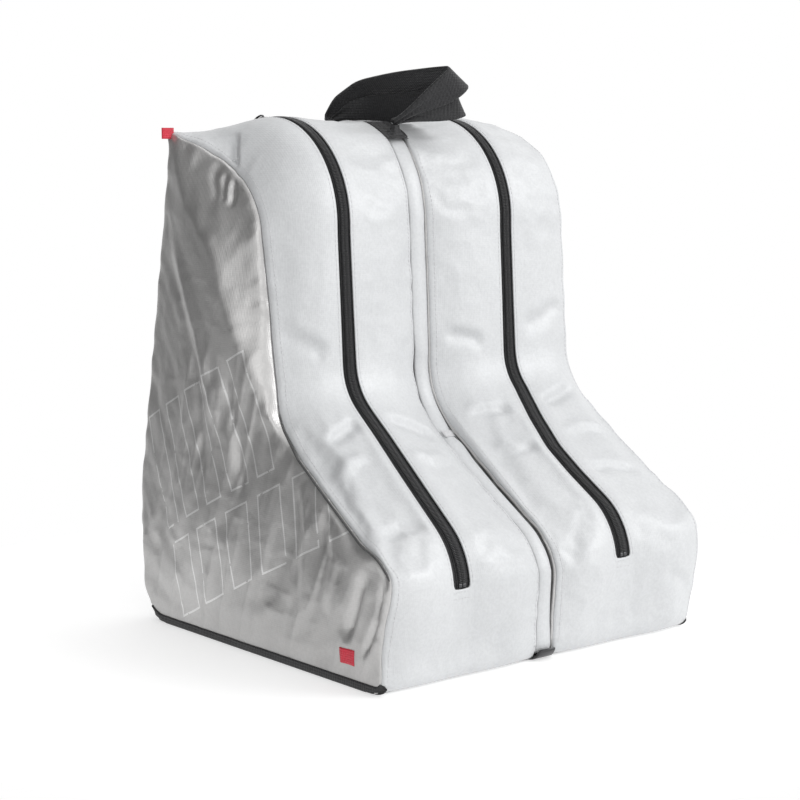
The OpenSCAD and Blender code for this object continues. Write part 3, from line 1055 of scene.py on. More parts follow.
class Builder:
    """Collects several closed shapes into one mesh, in millimetres."""

    def __init__(self):
        self.points, self.faces, self.count = [], [], 0

    def add(self, points, faces):
        """Adds a shape of its own points and faces."""
        self.points.append(np.asarray(points, float))
        self.faces += [[v + self.count for v in f] for f in faces]
        self.count += len(points)

    def tube(self, rings, closed_run=False):
        """Adds a tube through equal rings of points."""
        self.add(*skin(rings, closed_run))

    def make(self, name):
        """One object of all shapes, with its faces turned outwards."""
        obj = mesh_object(name, np.vstack(self.points), self.faces)
        bm = bmesh.new()
        bm.from_mesh(obj.data)
        bmesh.ops.recalc_face_normals(bm, faces=bm.faces)
        bm.to_mesh(obj.data)
        bm.free()
        return obj


def rounded_section(x0, x1, h0, h1, r, steps=3):
    """Closed section (x, height) of a bar with rounded corners."""
    r = min(r, (x1 - x0) / 2 * 0.98, (h1 - h0) / 2 * 0.98)
    corners = [(x1 - r, h1 - r, 0), (x0 + r, h1 - r, 90), (x0 + r, h0 + r, 180), (x1 - r, h0 + r, 270)]
    out = []
    for cx, ch, a0 in corners:
        for k in range(steps + 1):
            a = math.radians(a0 + 90 * k / steps)
            out.append((cx + r * math.cos(a), ch + r * math.sin(a)))
    return np.array(out)


def section_at(s, section, x=0.0, lift=0.0):
    """A section (x, height) standing on the outline at distance s."""
    return on_outline(np.full(len(section), s), section[:, 0] + x, section[:, 1] + lift)


def smooth_path(points, step):
    """A Catmull-Rom curve through control points, with even spacing."""
    p = np.asarray(points, float)
    p = np.vstack([2 * p[0] - p[1], p, 2 * p[-1] - p[-2]])
    dense = []
    for i in range(1, len(p) - 2):
        for t in np.linspace(0, 1, 24, endpoint=False):
            a, b, c, d = p[i - 1], p[i], p[i + 1], p[i + 2]
            dense.append(0.5 * (2 * b + (c - a) * t + (2 * a - 5 * b + 4 * c - d) * t * t
                                + (3 * b - a - 3 * c + d) * t ** 3))
    dense.append(p[-2])
    dense = np.array(dense)
    run = run_of(dense)
    at = np.linspace(0, run[-1], max(3, int(run[-1] / step)))
    return np.stack([np.interp(at, run, dense[:, k]) for k in range(p.shape[1])], axis=1)


def plate_mesh(name, loops, thickness, bevel):
    """A flat plate with rounded edges and holes from closed outlines (x, y), in mm,
    lying in the XY plane with its middle at height 0."""
    curve = bpy.data.curves.new(name, "CURVE")
    curve.dimensions = "2D"
    curve.fill_mode = "BOTH"
    curve.extrude = max(thickness / 2 - bevel, 0.01) * MM
    curve.bevel_depth = bevel * MM
    curve.bevel_resolution = 2
    curve.offset = -bevel * MM
    for loop in loops:
        spline = curve.splines.new("POLY")
        spline.points.add(len(loop) - 1)
        for k, (x, y) in enumerate(loop):
            spline.points[k].co = (x * MM, y * MM, 0, 1)
        spline.use_cyclic_u = True
    temp = bpy.data.objects.new(name, curve)
    bpy.context.scene.collection.objects.link(temp)
    graph = bpy.context.evaluated_depsgraph_get()
    graph.update()
    mesh = bpy.data.meshes.new_from_object(temp.evaluated_get(graph))
    co = np.array([v.co for v in mesh.vertices]) / MM
    faces = [list(p.vertices) for p in mesh.polygons]
    bpy.data.objects.remove(temp)
    bpy.data.curves.remove(curve)
    bpy.data.meshes.remove(mesh)
    return co, faces


def arc_points(cx, cy, r, a0, a1, steps):
    """Points (x, y) on an arc from angle a0 to a1 in degrees."""
    angles = np.radians(np.linspace(a0, a1, steps))
    return [(cx + r * math.cos(a), cy + r * math.sin(a)) for a in angles]


def rounded_box_loop(x0, x1, y0, y1, r):
    """A closed loop (x, y) round a box with rounded corners."""
    corners = ((x1 - r, y1 - r), (x0 + r, y1 - r), (x0 + r, y0 + r), (x1 - r, y0 + r))
    return [p for k, (x, y) in enumerate(corners) for p in arc_points(x, y, r, 90 * k, 90 * k + 90, 6)]


def sheet_faces(rows, cols):
    """Faces of a thin sheet: a grid of points, then the same grid again on its underside."""
    under = rows * cols
    faces = []
    for i in range(rows - 1):
        for j in range(cols - 1):
            q = [i * cols + j, i * cols + j + 1, (i + 1) * cols + j + 1, (i + 1) * cols + j]
            faces += [q, [v + under for v in q[::-1]]]
    rim = ([(0, j) for j in range(cols)] + [(i, cols - 1) for i in range(1, rows)]
           + [(rows - 1, j) for j in range(cols - 2, -1, -1)] + [(i, 0) for i in range(rows - 2, 0, -1)])
    ids = [i * cols + j for i, j in rim]
    for v, w in zip(ids, ids[1:] + ids[:1]):
        faces.append([v, w, w + under, v + under])
    return faces


# A stitch's height over its width, and the radius and lift (mm) of the thread that sew lays
FLATNESS = 0.7
THREAD_RADIUS = 0.27
THREAD_LIFT = 0.12


def capsule(a, b, radius, side):
    """A short stitch of thread from a to b (mm), flattened along side."""
    a, b = np.asarray(a, float), np.asarray(b, float)
    d = unit(b - a)
    u = unit(np.cross(d, side))
    w = np.cross(u, d)
    rings = []
    for t, r in ((0.0, 0.35), (0.16, 0.9), (0.5, 1.0), (0.84, 0.9), (1.0, 0.35)):
        centre = a + (b - a) * t
        ring = []
        for k in range(6):
            ang = k * math.pi / 3
            ring.append(centre + (u * math.cos(ang) + w * math.sin(ang) * FLATNESS) * radius * r)
        rings.append(ring)
    return skin(rings)


def surface_point(p, sides):
    """Nearest point of the cloth to p and its outward normal (mm)."""
    best = None
    for side in sides:
        hit, normal, _, gap = SURFACE[side].find_nearest(Vector(p))
        if best is None or gap < best[2]:
            best = (np.array(hit), np.array(normal), gap)
    return best[0], best[1]


def sew(builder, path, sides, length=2.7, gap=1.1):
    """Stitches along a path of points (mm) that lies near the cloth."""
    path = np.asarray(path, float)
    run = run_of(path)
    at = 0.6
    while at + length < run[-1]:
        ends = []
        for t in (at, at + length):
            q = np.array([np.interp(t, run, path[:, k]) for k in range(3)])
            hit, normal = surface_point(q, sides)
            ends.append(hit + normal * THREAD_LIFT)
        builder.add(*capsule(ends[0], ends[1], THREAD_RADIUS, normal))
        at += length + gap


# ---------------------------------------------------------------- sewn-in parts
# Half width of the dark tape edge that shows in a seam, as (distance, half width); where wide it is raised
# into view as a dark line, painted shade along the seam
SHADE_BEAD = [(0, 0.3), (300, 0.3), (328, 1.05), (492, 1.05), (510, 0.3), (1300, 0.3)]
# How much of that painted shade line each seam shows, as a scale on its half width
SHADE_BEAD_SCALE = {
    ("left", "outer"): 1.0, ("left", "inner"): 0.75, ("right", "inner"): 0.75, ("right", "outer"): 0.3,
}
# How far inward of the seam the folded tape hangs
TAPE_INSET = 2.6


def make_seam_tapes():
    """Tape folded over the raw seam edges inside each compartment, and its rounded edge,
    which lies just below the rolled edges of the panels; where widened, that dark edge
    shows as a line of painted shade along the seam."""
    stations = np.arange(0, PERIMETER, 5.0)
    section = rounded_section(-1.1, 1.1, -8.0, -2.6, 0.8, 2)
    _, normal = outline(stations)
    ang = circle(8)
    for side in SIDES:
        for which in ("outer", "inner"):
            way = inward(side, which)
            size = np.maximum(table(SHADE_BEAD, stations)[0] * SHADE_BEAD_SCALE[side, which], 0.3)
            tape, shade_bead = [], []
            for p, n, r in zip(seam_points(side, which, stations), normal, size):
                # A wide edge sits just under the rolled panels and shows as painted shade; a narrow one sinks
                # out of sight
                sunk = float(np.interp(r, (0.3, 1.05), (5.2, 1.7)))
                x = p[0] + way * TAPE_INSET + section[:, 0]
                tape.append(np.c_[x, p[1:] + section[:, 1:] * n])
                x = p[0] + way * (sunk - 1.7) * 0.6 + r * np.cos(ang)
                shade_bead.append(np.c_[x, p[1:] + (r * np.sin(ang) - sunk)[:, None] * n])
            build = Builder()
            build.tube(tape, closed_run=True)
            build.tube(shade_bead, closed_run=True)
            obj = build.make(f"{side}_{which}_seam_tape_folded")
            finish_piece(obj, "seam", "bag", [f"{side}_{which}_seam_tape"])


# Where, along the outline, a bar tack ties the two middle seams together
TIE = 352.0


def make_centre_strips():
    """Narrow strips of the same cloth between the two middle seams."""
    for name, s0, s1, node_name in (
        ("centre_front_strip_cloth", 1.0, 590.0, "centre_front_strip"),
        ("centre_back_strip_cloth", 892.0, PERIMETER - 1.0, "centre_back_strip"),
    ):
        rings = []
        for s in np.arange(s0, s1, 4.0):
            depth = float(table(INNER_SEAM, s)[0])
            pinch = below = above = 0.0
            if s < BASE_FRONT:
                pinch = 3.2 * math.exp(-(((s - TIE) / 9) ** 2))
                below = float(ease((s - TIE - 6) / 30)) * float(ease((590 - s) / 60))
                above = float(ease((s - 255) / 40)) * float(ease((TIE - 12 - s) / 15))
            left = -7.9 + 1.5 * above + pinch * 0.4
            right = 7.9 - 2.6 * below - pinch * 0.4
            ripple = 0.5 * math.sin(s / 23.0) + 0.3 * math.sin(s / 9.1)
            ring = []
            for k in range(13):
                t = k / 12
                x = left + (right - left) * t
                fall = 1.6 + 1.6 * pinch / 3.2 - (1.9 + ripple * 0.5) * math.sin(math.pi * t) ** 0.8
                ring.append((x, -(depth + fall + 0.6)))
            upper = np.array(ring)
            rings.append(section_at(s, np.vstack([upper, upper[::-1] - np.array([0, 1.6])])))
        build = Builder()
        build.tube(rings)
        finish_piece(build.make(name), "front", "bag", [node_name])


# The tape round the bottom edge as (height, swell), from its lower to its upper edge
EDGE_PROFILE = [(0.1, 0.5), (0.9, 1.05), (2.2, 1.2), (3.6, 1.1), (5.0, 1.2), (6.2, 1.0), (6.5, 0.45)]
BASE_HALF = packed_box("base_panel")[1][0]


def make_base_cloth():
    """Black base cloth, and the bit of it that comes up between the toes."""
    rings = []
    section = rounded_section(-BASE_HALF - 1.2, BASE_HALF + 1.2, -2.0, 0.0, 0.9)
    for s in np.arange(BASE_FRONT + 0.5, BASE_BACK + 9, 3.0):
        lift = 0.8 * float(ease((s - BASE_BACK - 2) / 6))
        ripple = lift * (0.25 * math.sin(s * 2.1))
        rings.append(section_at(s, section, 0.0, lift + ripple))
    lip = rounded_section(-8.6, 8.6, -1.6, 0.5, 0.9)
    tongue = []
    for s in np.arange(BASE_FRONT - 16, BASE_FRONT + 8, 2.0):
        widen = 1 + 0.25 * float(ease((s - BASE_FRONT + 14) / 14))
        tongue.append(section_at(s, lip * (widen, 1), 0.0, -0.4))
    build = Builder()
    build.tube(rings)
    build.tube(tongue)
    finish_piece(build.make("base_cloth_sheet"), "base", "bag", ["base_panel"])


def make_edge_tape():
    """Tape round the bottom edge of both outer panels."""
    build = Builder()
    for side in SIDES:
        sign = SIGN[side]
        rings = []
        for s in np.arange(BASE_FRONT - 13, BASE_BACK + 24, 3.0):
            point, normal = outline(np.array([s]))
            outer = []
            for height, swell in EDGE_PROFILE:
                y, z = point[0] / MM - normal[0] * height
                hit = SURFACE[side].ray_cast(Vector((sign * 200, y, z)), Vector((-sign, 0, 0)))[0]
                x = abs(hit.x) if hit else BASE_HALF
                outer.append((sign * (min(max(x, BASE_HALF - 1.5), BASE_HALF + 3) + swell), y, z))
            inner = [(sign * (BASE_HALF - 1.2), y, z) for _, y, z in (outer[-1], outer[0])]
            rings.append(np.array(outer + inner))
        build.tube(rings)
    finish_piece(build.make("base_edge_tape"), "webbing", "bag", ["base_binding"])


def make_base_boards():
    """Stiffening boards on the base cloth."""
    for side in SIDES:
        low, high = packed_box(f"{side}_base_board")
        loop = rounded_box_loop(low[0], high[0], low[1], high[1], 12)
        co, faces = plate_mesh("board", [loop], high[2] - low[2], 0.5)
        co[:, 2] += (low[2] + high[2]) / 2
        build = Builder()
        build.add(co, faces)
        obj = build.make(f"{side}_base_board_sheet")
        finish_piece(obj, "board", "bag", [f"{side}_base_board"], smooth=False)


# ---------------------------------------------------------------- zips
# The coil's pitch along the zip, and the radius of its filament
COIL_PITCH = 1.3
FILAMENT = 0.40
# How far the woven tapes reach from the zip's middle, under the cloth beside the slit
TAPE_HALF = 12.0


def coil_rings(side, way):
    """Rings of the filament that spirals along one half of a zip, way 1 on the outer half."""
    turns = int((ZIP_TOE - ZIP_TOP - 6) / COIL_PITCH)
    theta = np.arange(turns * 8) * math.pi / 4 + (math.pi if way < 0 else 0)
    s = ZIP_TOP + 3 + COIL_PITCH * theta / (2 * math.pi)
    centre = on_outline(s, 0.0, -0.40 + 0.66 * np.sin(theta))
    out = SIGN[side] * way
    centre[:, 0] = SIGN[side] * zip_offset(side, s) + out * (1.45 - 1.78 * np.cos(theta))
    tangent = unit(np.gradient(centre, axis=0))
    _, normal = outline(s)
    up = np.c_[np.zeros(len(s)), normal]
    a = unit(np.cross(tangent, up + 0.001))
    b = np.cross(a, tangent)
    rings = np.zeros((len(s), 5, 3))
    for k in range(5):
        ang = 2 * math.pi * k / 5
        rings[:, k] = centre + (a * math.cos(ang) + b * math.sin(ang)) * FILAMENT
    return list(rings)


def make_zip_half(side, half, way):
    """A woven tape with its cord, and the spiral coil sewn on it, way 1 on the outer half."""
    out = SIGN[side] * way
    section = rounded_section(*sorted((out * 0.35, out * TAPE_HALF)), -2.05, -1.28, 0.3, 2)
    section[:, 1] -= 0.16 * np.maximum(np.abs(section[:, 0]) - 7.0, 0) ** 1.5
    cord = rounded_section(*sorted((out * 3.6, out * 4.4)), -1.6, -0.98, 0.28, 2)
    build = Builder()
    for shape in (section, cord):
        stations = np.arange(ZIP_TOP - 3, ZIP_TOE + 7, 3.0)
        build.tube([section_at(s, shape, zip_x(side, s)) for s in stations])
    obj = build.make(f"{side}_zip_tape_{half}_woven")
    finish_piece(obj, "tape", "bag", [f"{side}_zip_tape_{half}"])
    build = Builder()
    build.tube(coil_rings(side, way))
    obj = build.make(f"{side}_zip_coil_{half}_spiral")
    finish_piece(obj, "coil", "bag", [f"{side}_zip_coil_{half}"])


def make_zip_stops(side):
    """Crimped stops at both ends of a zip, thickest in their middle."""
    build = Builder()
    for s0, s1 in ((ZIP_TOP - 0.5, ZIP_TOP + 3.2), (ZIP_TOE - 3.6, ZIP_TOE - 0.4)):
        for x0, x1 in ((-3.6, -0.25), (0.25, 3.6)):
            section = rounded_section(x0, x1, -2.1, 0.62, 0.5)
            middle = section.mean(axis=0)
            rings = []
            for t in np.linspace(0, 1, 7):
                grow = 1 - 0.35 * abs(2 * t - 1) ** 3
                s = s0 + (s1 - s0) * t
                rings.append(section_at(s, middle + (section - middle) * grow, zip_x(side, s)))
            build.tube(rings)
    obj = build.make(f"{side}_zip_stops_crimped")
    finish_piece(obj, "metal", "bag", [f"{side}_zip_stops"])


def make_zips():
    """Woven tapes, spiral coils and end stops of both zips."""
    for side in SIDES:
        make_zip_half(side, "outer", 1)
        make_zip_half(side, "inner", -1)
        make_zip_stops(side)


def stand(points, origin, angle, rise):
    """Moves points from a part's own frame to origin: x across, y along the dome, z out
    of it at that angle, with rise added to z."""
    ca, sa = math.cos(angle), math.sin(angle)
    across, along, out = np.array([1, 0, 0]), np.array([0, sa, -ca]), np.array([0, ca, sa])
    p = np.vstack(points)
    return origin + across * p[:, :1] + along * p[:, 1:2] + out * (p[:, 2:] + rise)


def slider_angle(side):
    """Where the slider is parked on the dome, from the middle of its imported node."""
    centre = JOINT[f"{side}_slider_run"]["pos_m"]
    middle = np.unique(np.round(packed_points(f"{side}_zip_slider"), 6), axis=0).mean(0)
    return math.atan2(middle[2] - centre[2], middle[1] - centre[1])


def sharpen(obj):
    """Keeps the edges of a hard part crisp under smooth shading."""
    mesh = obj.data
    bm = bmesh.new()
    bm.from_mesh(mesh)
    limit = math.radians(35)
    for e in bm.edges:
        if len(e.link_faces) == 2 and e.calc_face_angle(0) > limit:
            e.smooth = False
    bm.to_mesh(mesh)
    bm.free()


def finish_casting(build, side, part, body, origin, rise=0.0):
    """Stands a slider or its tab on the dome where the slider is parked, and finishes it."""
    build.points = [stand(build.points, origin, slider_angle(side), rise)]
    obj = build.make(f"{side}_{part}_cast")
    finish_piece(obj, "metal", body, [f"{side}_{part}"])
    sharpen(obj)


def make_sliders():
    """Slider bodies of two waisted plates, side lips, a neck and an arched bridge."""
    for side in SIDES:
        half = [(3.7, -7.4), (4.3, -5.5), (4.35, -2.0), (4.6, 1.5)]
        half += [(4.7, 4.5), (4.3, 6.6), (3.2, 7.4), (0.9, 7.1)]
        loop = half + [(-x, y) for x, y in half[::-1]] + [(-2.6, -7.8), (2.6, -7.8)]
        loop = smooth_path(loop + [loop[0]], 0.6)[:-1, :2]
        build = Builder()
        for z in (1.35, -4.15):
            co, faces = plate_mesh("plate", [loop], 1.3, 0.35)
            co[:, 2] += z
            build.add(co, faces)
        for x in (-1, 1):
            section = rounded_section(-0.55, 0.55, -1.6, 1.1, 0.4)
            rings = []
            for y in np.linspace(-6.6, 5.6, 14):
                wide = 3.9 + 0.35 * float(ease((y + 3) / 6))
                rings.append(np.c_[x * wide + section[:, 0], np.full(len(section), y), section[:, 1]])
            build.tube(rings)
        section = rounded_section(-0.3, 0.3, 1.4, 5.0, 0.25)
        build.tube([np.c_[section, np.full(len(section), z)] for z in np.linspace(-3.6, 0.9, 6)])
        arch = [(-5.2, 1.8), (-4.9, 3.4), (-3.6, 4.75), (0, 5.0), (3.6, 4.75), (4.9, 3.4), (5.2, 1.8)]
        arch = smooth_path(arch, 0.7)
        tangent = unit(np.gradient(arch, axis=0))
        section = rounded_section(-1.25, 1.25, -0.45, 0.45, 0.35)
        rings = []
        for (y, z), (ty, tz) in zip(arch, tangent):
            rings.append(np.c_[section[:, 0], y - tz * section[:, 1], z + ty * section[:, 1]])
        build.tube(rings)
        centre = joint_place(f"{side}_slider_run")
        radius = packed_box("left_outer_panel")[1][2] - centre[2]
        finish_casting(build, side, "zip_slider", f"{side}_slider", centre, radius)


def cross_ring(x, section):
    """A section (y, z) standing across the X axis at x."""
    return np.c_[np.full(len(section), x), section]


def make_pull_tabs():
    """Cast pull tabs with an eye over the bridge, a pin, grip bars and a round hole."""
    for side in SIDES:
        loop = ([(-2.9, -0.9), (2.9, -0.9), (3.1, 3), (2.7, 9), (2.7, 14), (3.5, 20)]
                + arc_points(0, 22.3, 3.5, 0, 180, 12) + [(-3.5, 20), (-2.7, 14), (-2.7, 9), (-3.1, 3)])
        eye = rounded_box_loop(-1.7, 1.7, 1.0, 8.6, 1.0)
        grip = arc_points(0, 22.3, 1.6, 0, 350, 18)
        build = Builder()
        co, faces = plate_mesh("tab", [loop, eye, grip], 1.4, 0.35)
        build.add(co, faces)
        grip_bar = rounded_section(-0.35, 0.35, -0.95, 0.95, 0.3, 2)
        for y in (11.2, 12.8, 14.4, 16.0):
            build.tube([cross_ring(x, grip_bar + (y, 0)) for x in np.linspace(-1.9, 1.9, 7)])
        pin = 0.85 * np.c_[np.cos(circle(12)), np.sin(circle(12))]
        build.tube([cross_ring(x, pin) for x in np.linspace(-2.9, 2.9, 8)])
        pivot = joint_place(f"{side}_tab_swing")
        finish_casting(build, side, "zip_pull_tab", f"{side}_pull_tab", pivot)


# ---------------------------------------------------------------- handles
# How each loop hangs in its own plane, as (y, distance from the axis) in mm
LOOP_PATHS = {
    "left": [
        (99, -1), (105, 0), (109, 4), (103.5, 12), (97, 20), (91, 27), (85.5, 32.5), (77, 36), (62, 39),
        (33, 44.5), (4, 48.5), (-18, 50), (-26, 49.5), (-29, 46), (-25, 38), (-13, 25), (3, 10), (14, -1),
    ],
    "right": [
        (99, -1), (102, 0.5), (104, 4), (98.5, 11), (91.5, 18), (84, 24), (77, 27.5), (66, 30), (48, 33.5),
        (28, 38), (6, 43), (-10, 46), (-17, 45.5), (-20, 42.5), (-16, 35), (-6, 22), (9, 8), (17.5, -1),
    ],
}


def loop_lean(side):
    """How far a carry loop leans from upright at rest, in radians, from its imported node."""
    joint = JOINT[f"{side}_loop_swing"]["pos_m"]
    co = packed_points(f"{side}_handle")
    far = co[np.argsort(-np.hypot(co[:, 0] - joint[0], co[:, 2] - joint[2]))[:40]]
    middle = far.mean(0)
    return math.atan2(middle[0] - joint[0], middle[2] - joint[2])


# Points across a loop's webbing, its half width at a foot, and how much it widens from there
LOOP_COLUMNS = 17
FOOT_HALF = 3.0
LOOP_SPREAD = 9.5


def webbing_rows(opened, sag, twist):
    """Section of the doubled webbing as (across, upper, lower), gathered where not opened."""
    rows = []
    for t in (-1 + 2 * j / (LOOP_COLUMNS - 1) for j in range(LOOP_COLUMNS)):
        gather = (1 - opened) * 0.9
        bend = gather * math.cos(t * math.pi * 2) + sag * (t * t - 0.4) + twist * t
        half = 1.1 * (0.72 + 0.28 * math.sqrt(max(0, 1 - t ** 8)))
        selvedge = 0.14 * math.exp(-(((abs(t) - 0.93) / 0.05) ** 2))
        groove = -0.16 * math.exp(-(((abs(t) - 0.74) / 0.04) ** 2))
        half += (selvedge + groove) * opened
        rows.append((t * (FOOT_HALF + LOOP_SPREAD * opened), bend + half, bend - half))
    return np.array(rows)


def make_loops():
    """Carry loops of doubled webbing, gathered at their feet, with edge stitching."""
    for side in SIDES:
        lean = loop_lean(side)
        axis = joint_place(f"{side}_loop_swing") * [0, 0, 1]
        reach = np.array([math.sin(lean), 0, math.cos(lean)])
        across = np.array([math.cos(lean), 0, -math.sin(lean)])
        forward = np.array([0, 1, 0])
        path = smooth_path(LOOP_PATHS[side], 2.0)
        tangent = unit(np.gradient(path, axis=0))
        run = run_of(path)
        total = run[-1]
        rings = []
        edges = {-1: [], 1: []}
        for at, (y, h), (ty, th) in zip(run, path, tangent):
            opened = float(min(ease((at - 2) / 30), ease((total - at - 2) / 58)))
            sag = 0.8 * math.sin(at / 17.0 + (0 if side == "left" else 2)) * opened
            twist = 1.2 * math.sin(at / total * math.pi * 2) * opened
            rows = webbing_rows(opened, sag, twist)
            middle = axis + reach * h + forward * y
            normal = reach * ty - forward * th
            upper = middle + across * rows[:, :1] + normal * rows[:, 1:2]
            lower = middle + across * rows[:, :1] + normal * rows[:, 2:]
            if opened > 0.9:
                for way, j in ((-1, 2), (1, LOOP_COLUMNS - 3)):
                    edges[way].append((upper[j] + normal * 0.12, lower[j] - normal * 0.12, normal))
            rings.append(np.vstack([upper, lower[::-1]]))
        build, thread = Builder(), Builder()
        build.tube(rings)
        for rows in edges.values():
            for k in range(0, len(rows) - 2, 2):
                for face in (0, 1):
                    a = rows[k][face] * 0.92 + rows[k + 1][face] * 0.08
                    b = rows[k][face] * 0.2 + rows[k + 2][face] * 0.8
                    thread.add(*capsule(a, b, 0.3, rows[k][2]))
        obj = build.make(f"{side}_handle_webbing")
        finish_piece(obj, "webbing", f"{side}_loop", [f"{side}_handle"])
        obj = thread.make(f"{side}_handle_stitching")
        finish_piece(obj, "dark_thread", f"{side}_loop")


# How far each patch runs on under the loops and stops short at its other end, in radians
PATCH_TAIL = 0.26
PATCH_CUT = 0.06
PATCH_HALF = 12.5
# Nearer the middle than this, a patch bridges the gap between the compartments
BRIDGE_HALF = 11
# Where the rays that look for the cloth start, and the least radius at which it can lie
RAY_START = 120
LEAST_REACH = 40


def outward(angle):
    """The direction away from the dome's axis at an angle from +Y."""
    return np.array([0, math.cos(angle), math.sin(angle)])


def patch_angles(name, box, points, centre):
    """The first and last angle on the dome of a patch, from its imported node."""
    wide = points[np.abs(points[:, 0]) > box[1][0] - 0.5]
    angles = np.arctan2(wide[:, 2] - centre[2], wide[:, 1] - centre[1])
    before, after = (PATCH_TAIL, -PATCH_CUT) if name.startswith("front") else (-PATCH_CUT, PATCH_TAIL)
    return angles.min() - before, angles.max() + after


def patch_reach(centre, turn, xs):
    """How far from the dome's axis the cloth lies under each place of a patch."""
    reach = np.zeros((len(turn), len(xs)))
    for i, angle in enumerate(turn):
        out = outward(angle)
        for j, x in enumerate(xs):
            best = 0.0
            for side in SIDES:
                origin = Vector(centre + np.array([x, 0, 0]) + out * RAY_START)
                hit, _, _, gap = SURFACE[side].ray_cast(origin, Vector(-out))
                if hit:
                    best = max(best, RAY_START - gap)
            reach[i, j] = best if abs(x) > BRIDGE_HALF else np.nan
        row = reach[i]
        ok = np.isfinite(row) & (row > LEAST_REACH)
        row[~ok] = np.interp(xs[~ok], xs[ok], row[ok]) - 0.4
    return reach


def stub_rings(box, points, centre, radius):
    """The stub of a loop's foot on a patch, pleated and flared where it is sewn down."""
    stub = points[(np.abs(points[:, 0]) < 3.5) & (points[:, 2] > box[1][2] - 2)]
    y0, y1 = stub[:, 1].min(), stub[:, 1].max()
    middle, half = (y0 + y1) / 2, (y1 - y0) / 2
    foot_z = centre[2] + math.sqrt(max(radius ** 2 - (middle - centre[1]) ** 2, 1)) - 1
    rings = []
    for t in np.linspace(-0.15, 1, 16):
        z = foot_z + (box[1][2] + 0.5 - foot_z) * t
        flare = 1 + 2.2 * max(0.0, 1 - t) ** 2.2
        ring = []
        for ang in circle(40):
            pleat = 1 + 0.10 * math.cos(ang * 6 + t * 1.5)
            ring.append((3.4 * flare * pleat * math.cos(ang),
                         middle + (half + 1.6 * (flare - 1)) * pleat * math.sin(ang), z))
        rings.append(ring)
    return rings


def place_on(grid, u, v):
    """The point of a grid at fractions u and v of its rows and columns."""
    rows, cols = grid.shape[:2]
    u, v = u * (rows - 1), v * (cols - 1)
    i, j = min(int(u), rows - 2), min(int(v), cols - 2)
    fu, fv = u - i, v - j
    return ((1 - fu) * (1 - fv) * grid[i, j] + fu * (1 - fv) * grid[i + 1, j]
            + (1 - fu) * fv * grid[i, j + 1] + fu * fv * grid[i + 1, j + 1])


def box_stitches(grid, centre):
    """Thread over a patch: a crossed box on each half, in fractions of its rows and columns."""
    thread = Builder()
    for v0, v1 in ((0.07, 0.36), (0.64, 0.93)):
        box = [(0.15, v0), (0.15, v1), (0.85, v1), (0.85, v0)]
        lines = list(zip(box, box[1:] + box[:1])) + [(box[0], box[2]), (box[1], box[3])]
        for a, b in lines:
            steps = max(2, int(np.hypot((a[0] - b[0]) * 15, (a[1] - b[1]) * 28) / 2.6))
            for k in range(steps):
                ends = []
                for t in ((k + 0.1) / steps, (k + 0.8) / steps):
                    p = place_on(grid, a[0] + (b[0] - a[0]) * t, a[1] + (b[1] - a[1]) * t)
                    out = unit(p - np.array([p[0], centre[1], centre[2]]))
                    ends.append(p + out * 0.1)
                thread.add(*capsule(ends[0], ends[1], 0.3, out))
    return thread


def make_anchors():
    """Webbing patches sewn across the middle of the top, with the stubs of the loops."""
    centre = joint_place("left_slider_run") * [0, 1, 1]
    xs = np.linspace(-PATCH_HALF, PATCH_HALF, 25)
    for name in ("front_handle_anchor", "rear_handle_anchor"):
        box, points = packed_box(name), packed_points(name) / MM
        turn = np.linspace(*patch_angles(name, box, points, centre), 17)
        reach = patch_reach(centre, turn, xs)
        rows, cols = reach.shape
        top, bottom = [], []
        for i, angle in enumerate(turn):
            out = outward(angle)
            row_edge = 1 - 0.45 * abs(2 * i / (rows - 1) - 1) ** 6
            for j, x in enumerate(xs):
                edge = row_edge * (1 - 0.45 * abs(x / PATCH_HALF) ** 10)
                base = centre + np.array([x, 0, 0])
                top.append(base + out * (reach[i, j] + 1.75 * edge))
                bottom.append(base + out * (reach[i, j] - 0.3))
        build = Builder()
        build.add(np.array(top + bottom), sheet_faces(rows, cols))
        build.tube(stub_rings(box, points, centre, reach.mean()))
        finish_piece(build.make(name + "_patch"), "webbing", "bag", [name])
        thread = box_stitches(np.array(top).reshape(rows, cols, 3), centre)
        finish_piece(thread.make(name + "_stitching"), "dark_thread", "bag")


# ---------------------------------------------------------------- trim
def make_red_tab():
    """Folded tape caught in the seam at the top of the left back corner."""
    low, high = packed_box("red_seam_tab")
    y = (low[1] + high[1]) / 2 + 2
    rings = []
    raised = 7.5
    for z in np.linspace(low[2] + raised, high[2] + raised, 9):
        t = (z - low[2] - raised) / (high[2] - low[2])
        lean = 0.5 * math.sin(t * 3)
        x_in, x_out = high[0] + 2.5, low[0] + 0.9
        line = [(x_in, y - 0.75), (x_out + 2, y - 0.85 + lean * 0.2)]
        for a in np.linspace(0, math.pi, 8):
            line.append((x_out - 0.95 * math.sin(a), y - 0.9 * math.cos(a) + lean * 0.2))
        line += [(x_out + 2, y + 0.85 + lean * 0.2), (x_in, y + 0.75)]
        line = np.array(line)
        tangent = unit(np.gradient(line, axis=0))
        normal = np.c_[tangent[:, 1], -tangent[:, 0]]
        ring = np.vstack([line + normal * 0.32, (line - normal * 0.32)[::-1]])
        rings.append(np.c_[ring, np.full(len(ring), z)])
    build = Builder()
    build.tube(rings)
    finish_piece(build.make("red_tab_folded"), "red", "bag", ["red_seam_tab"])


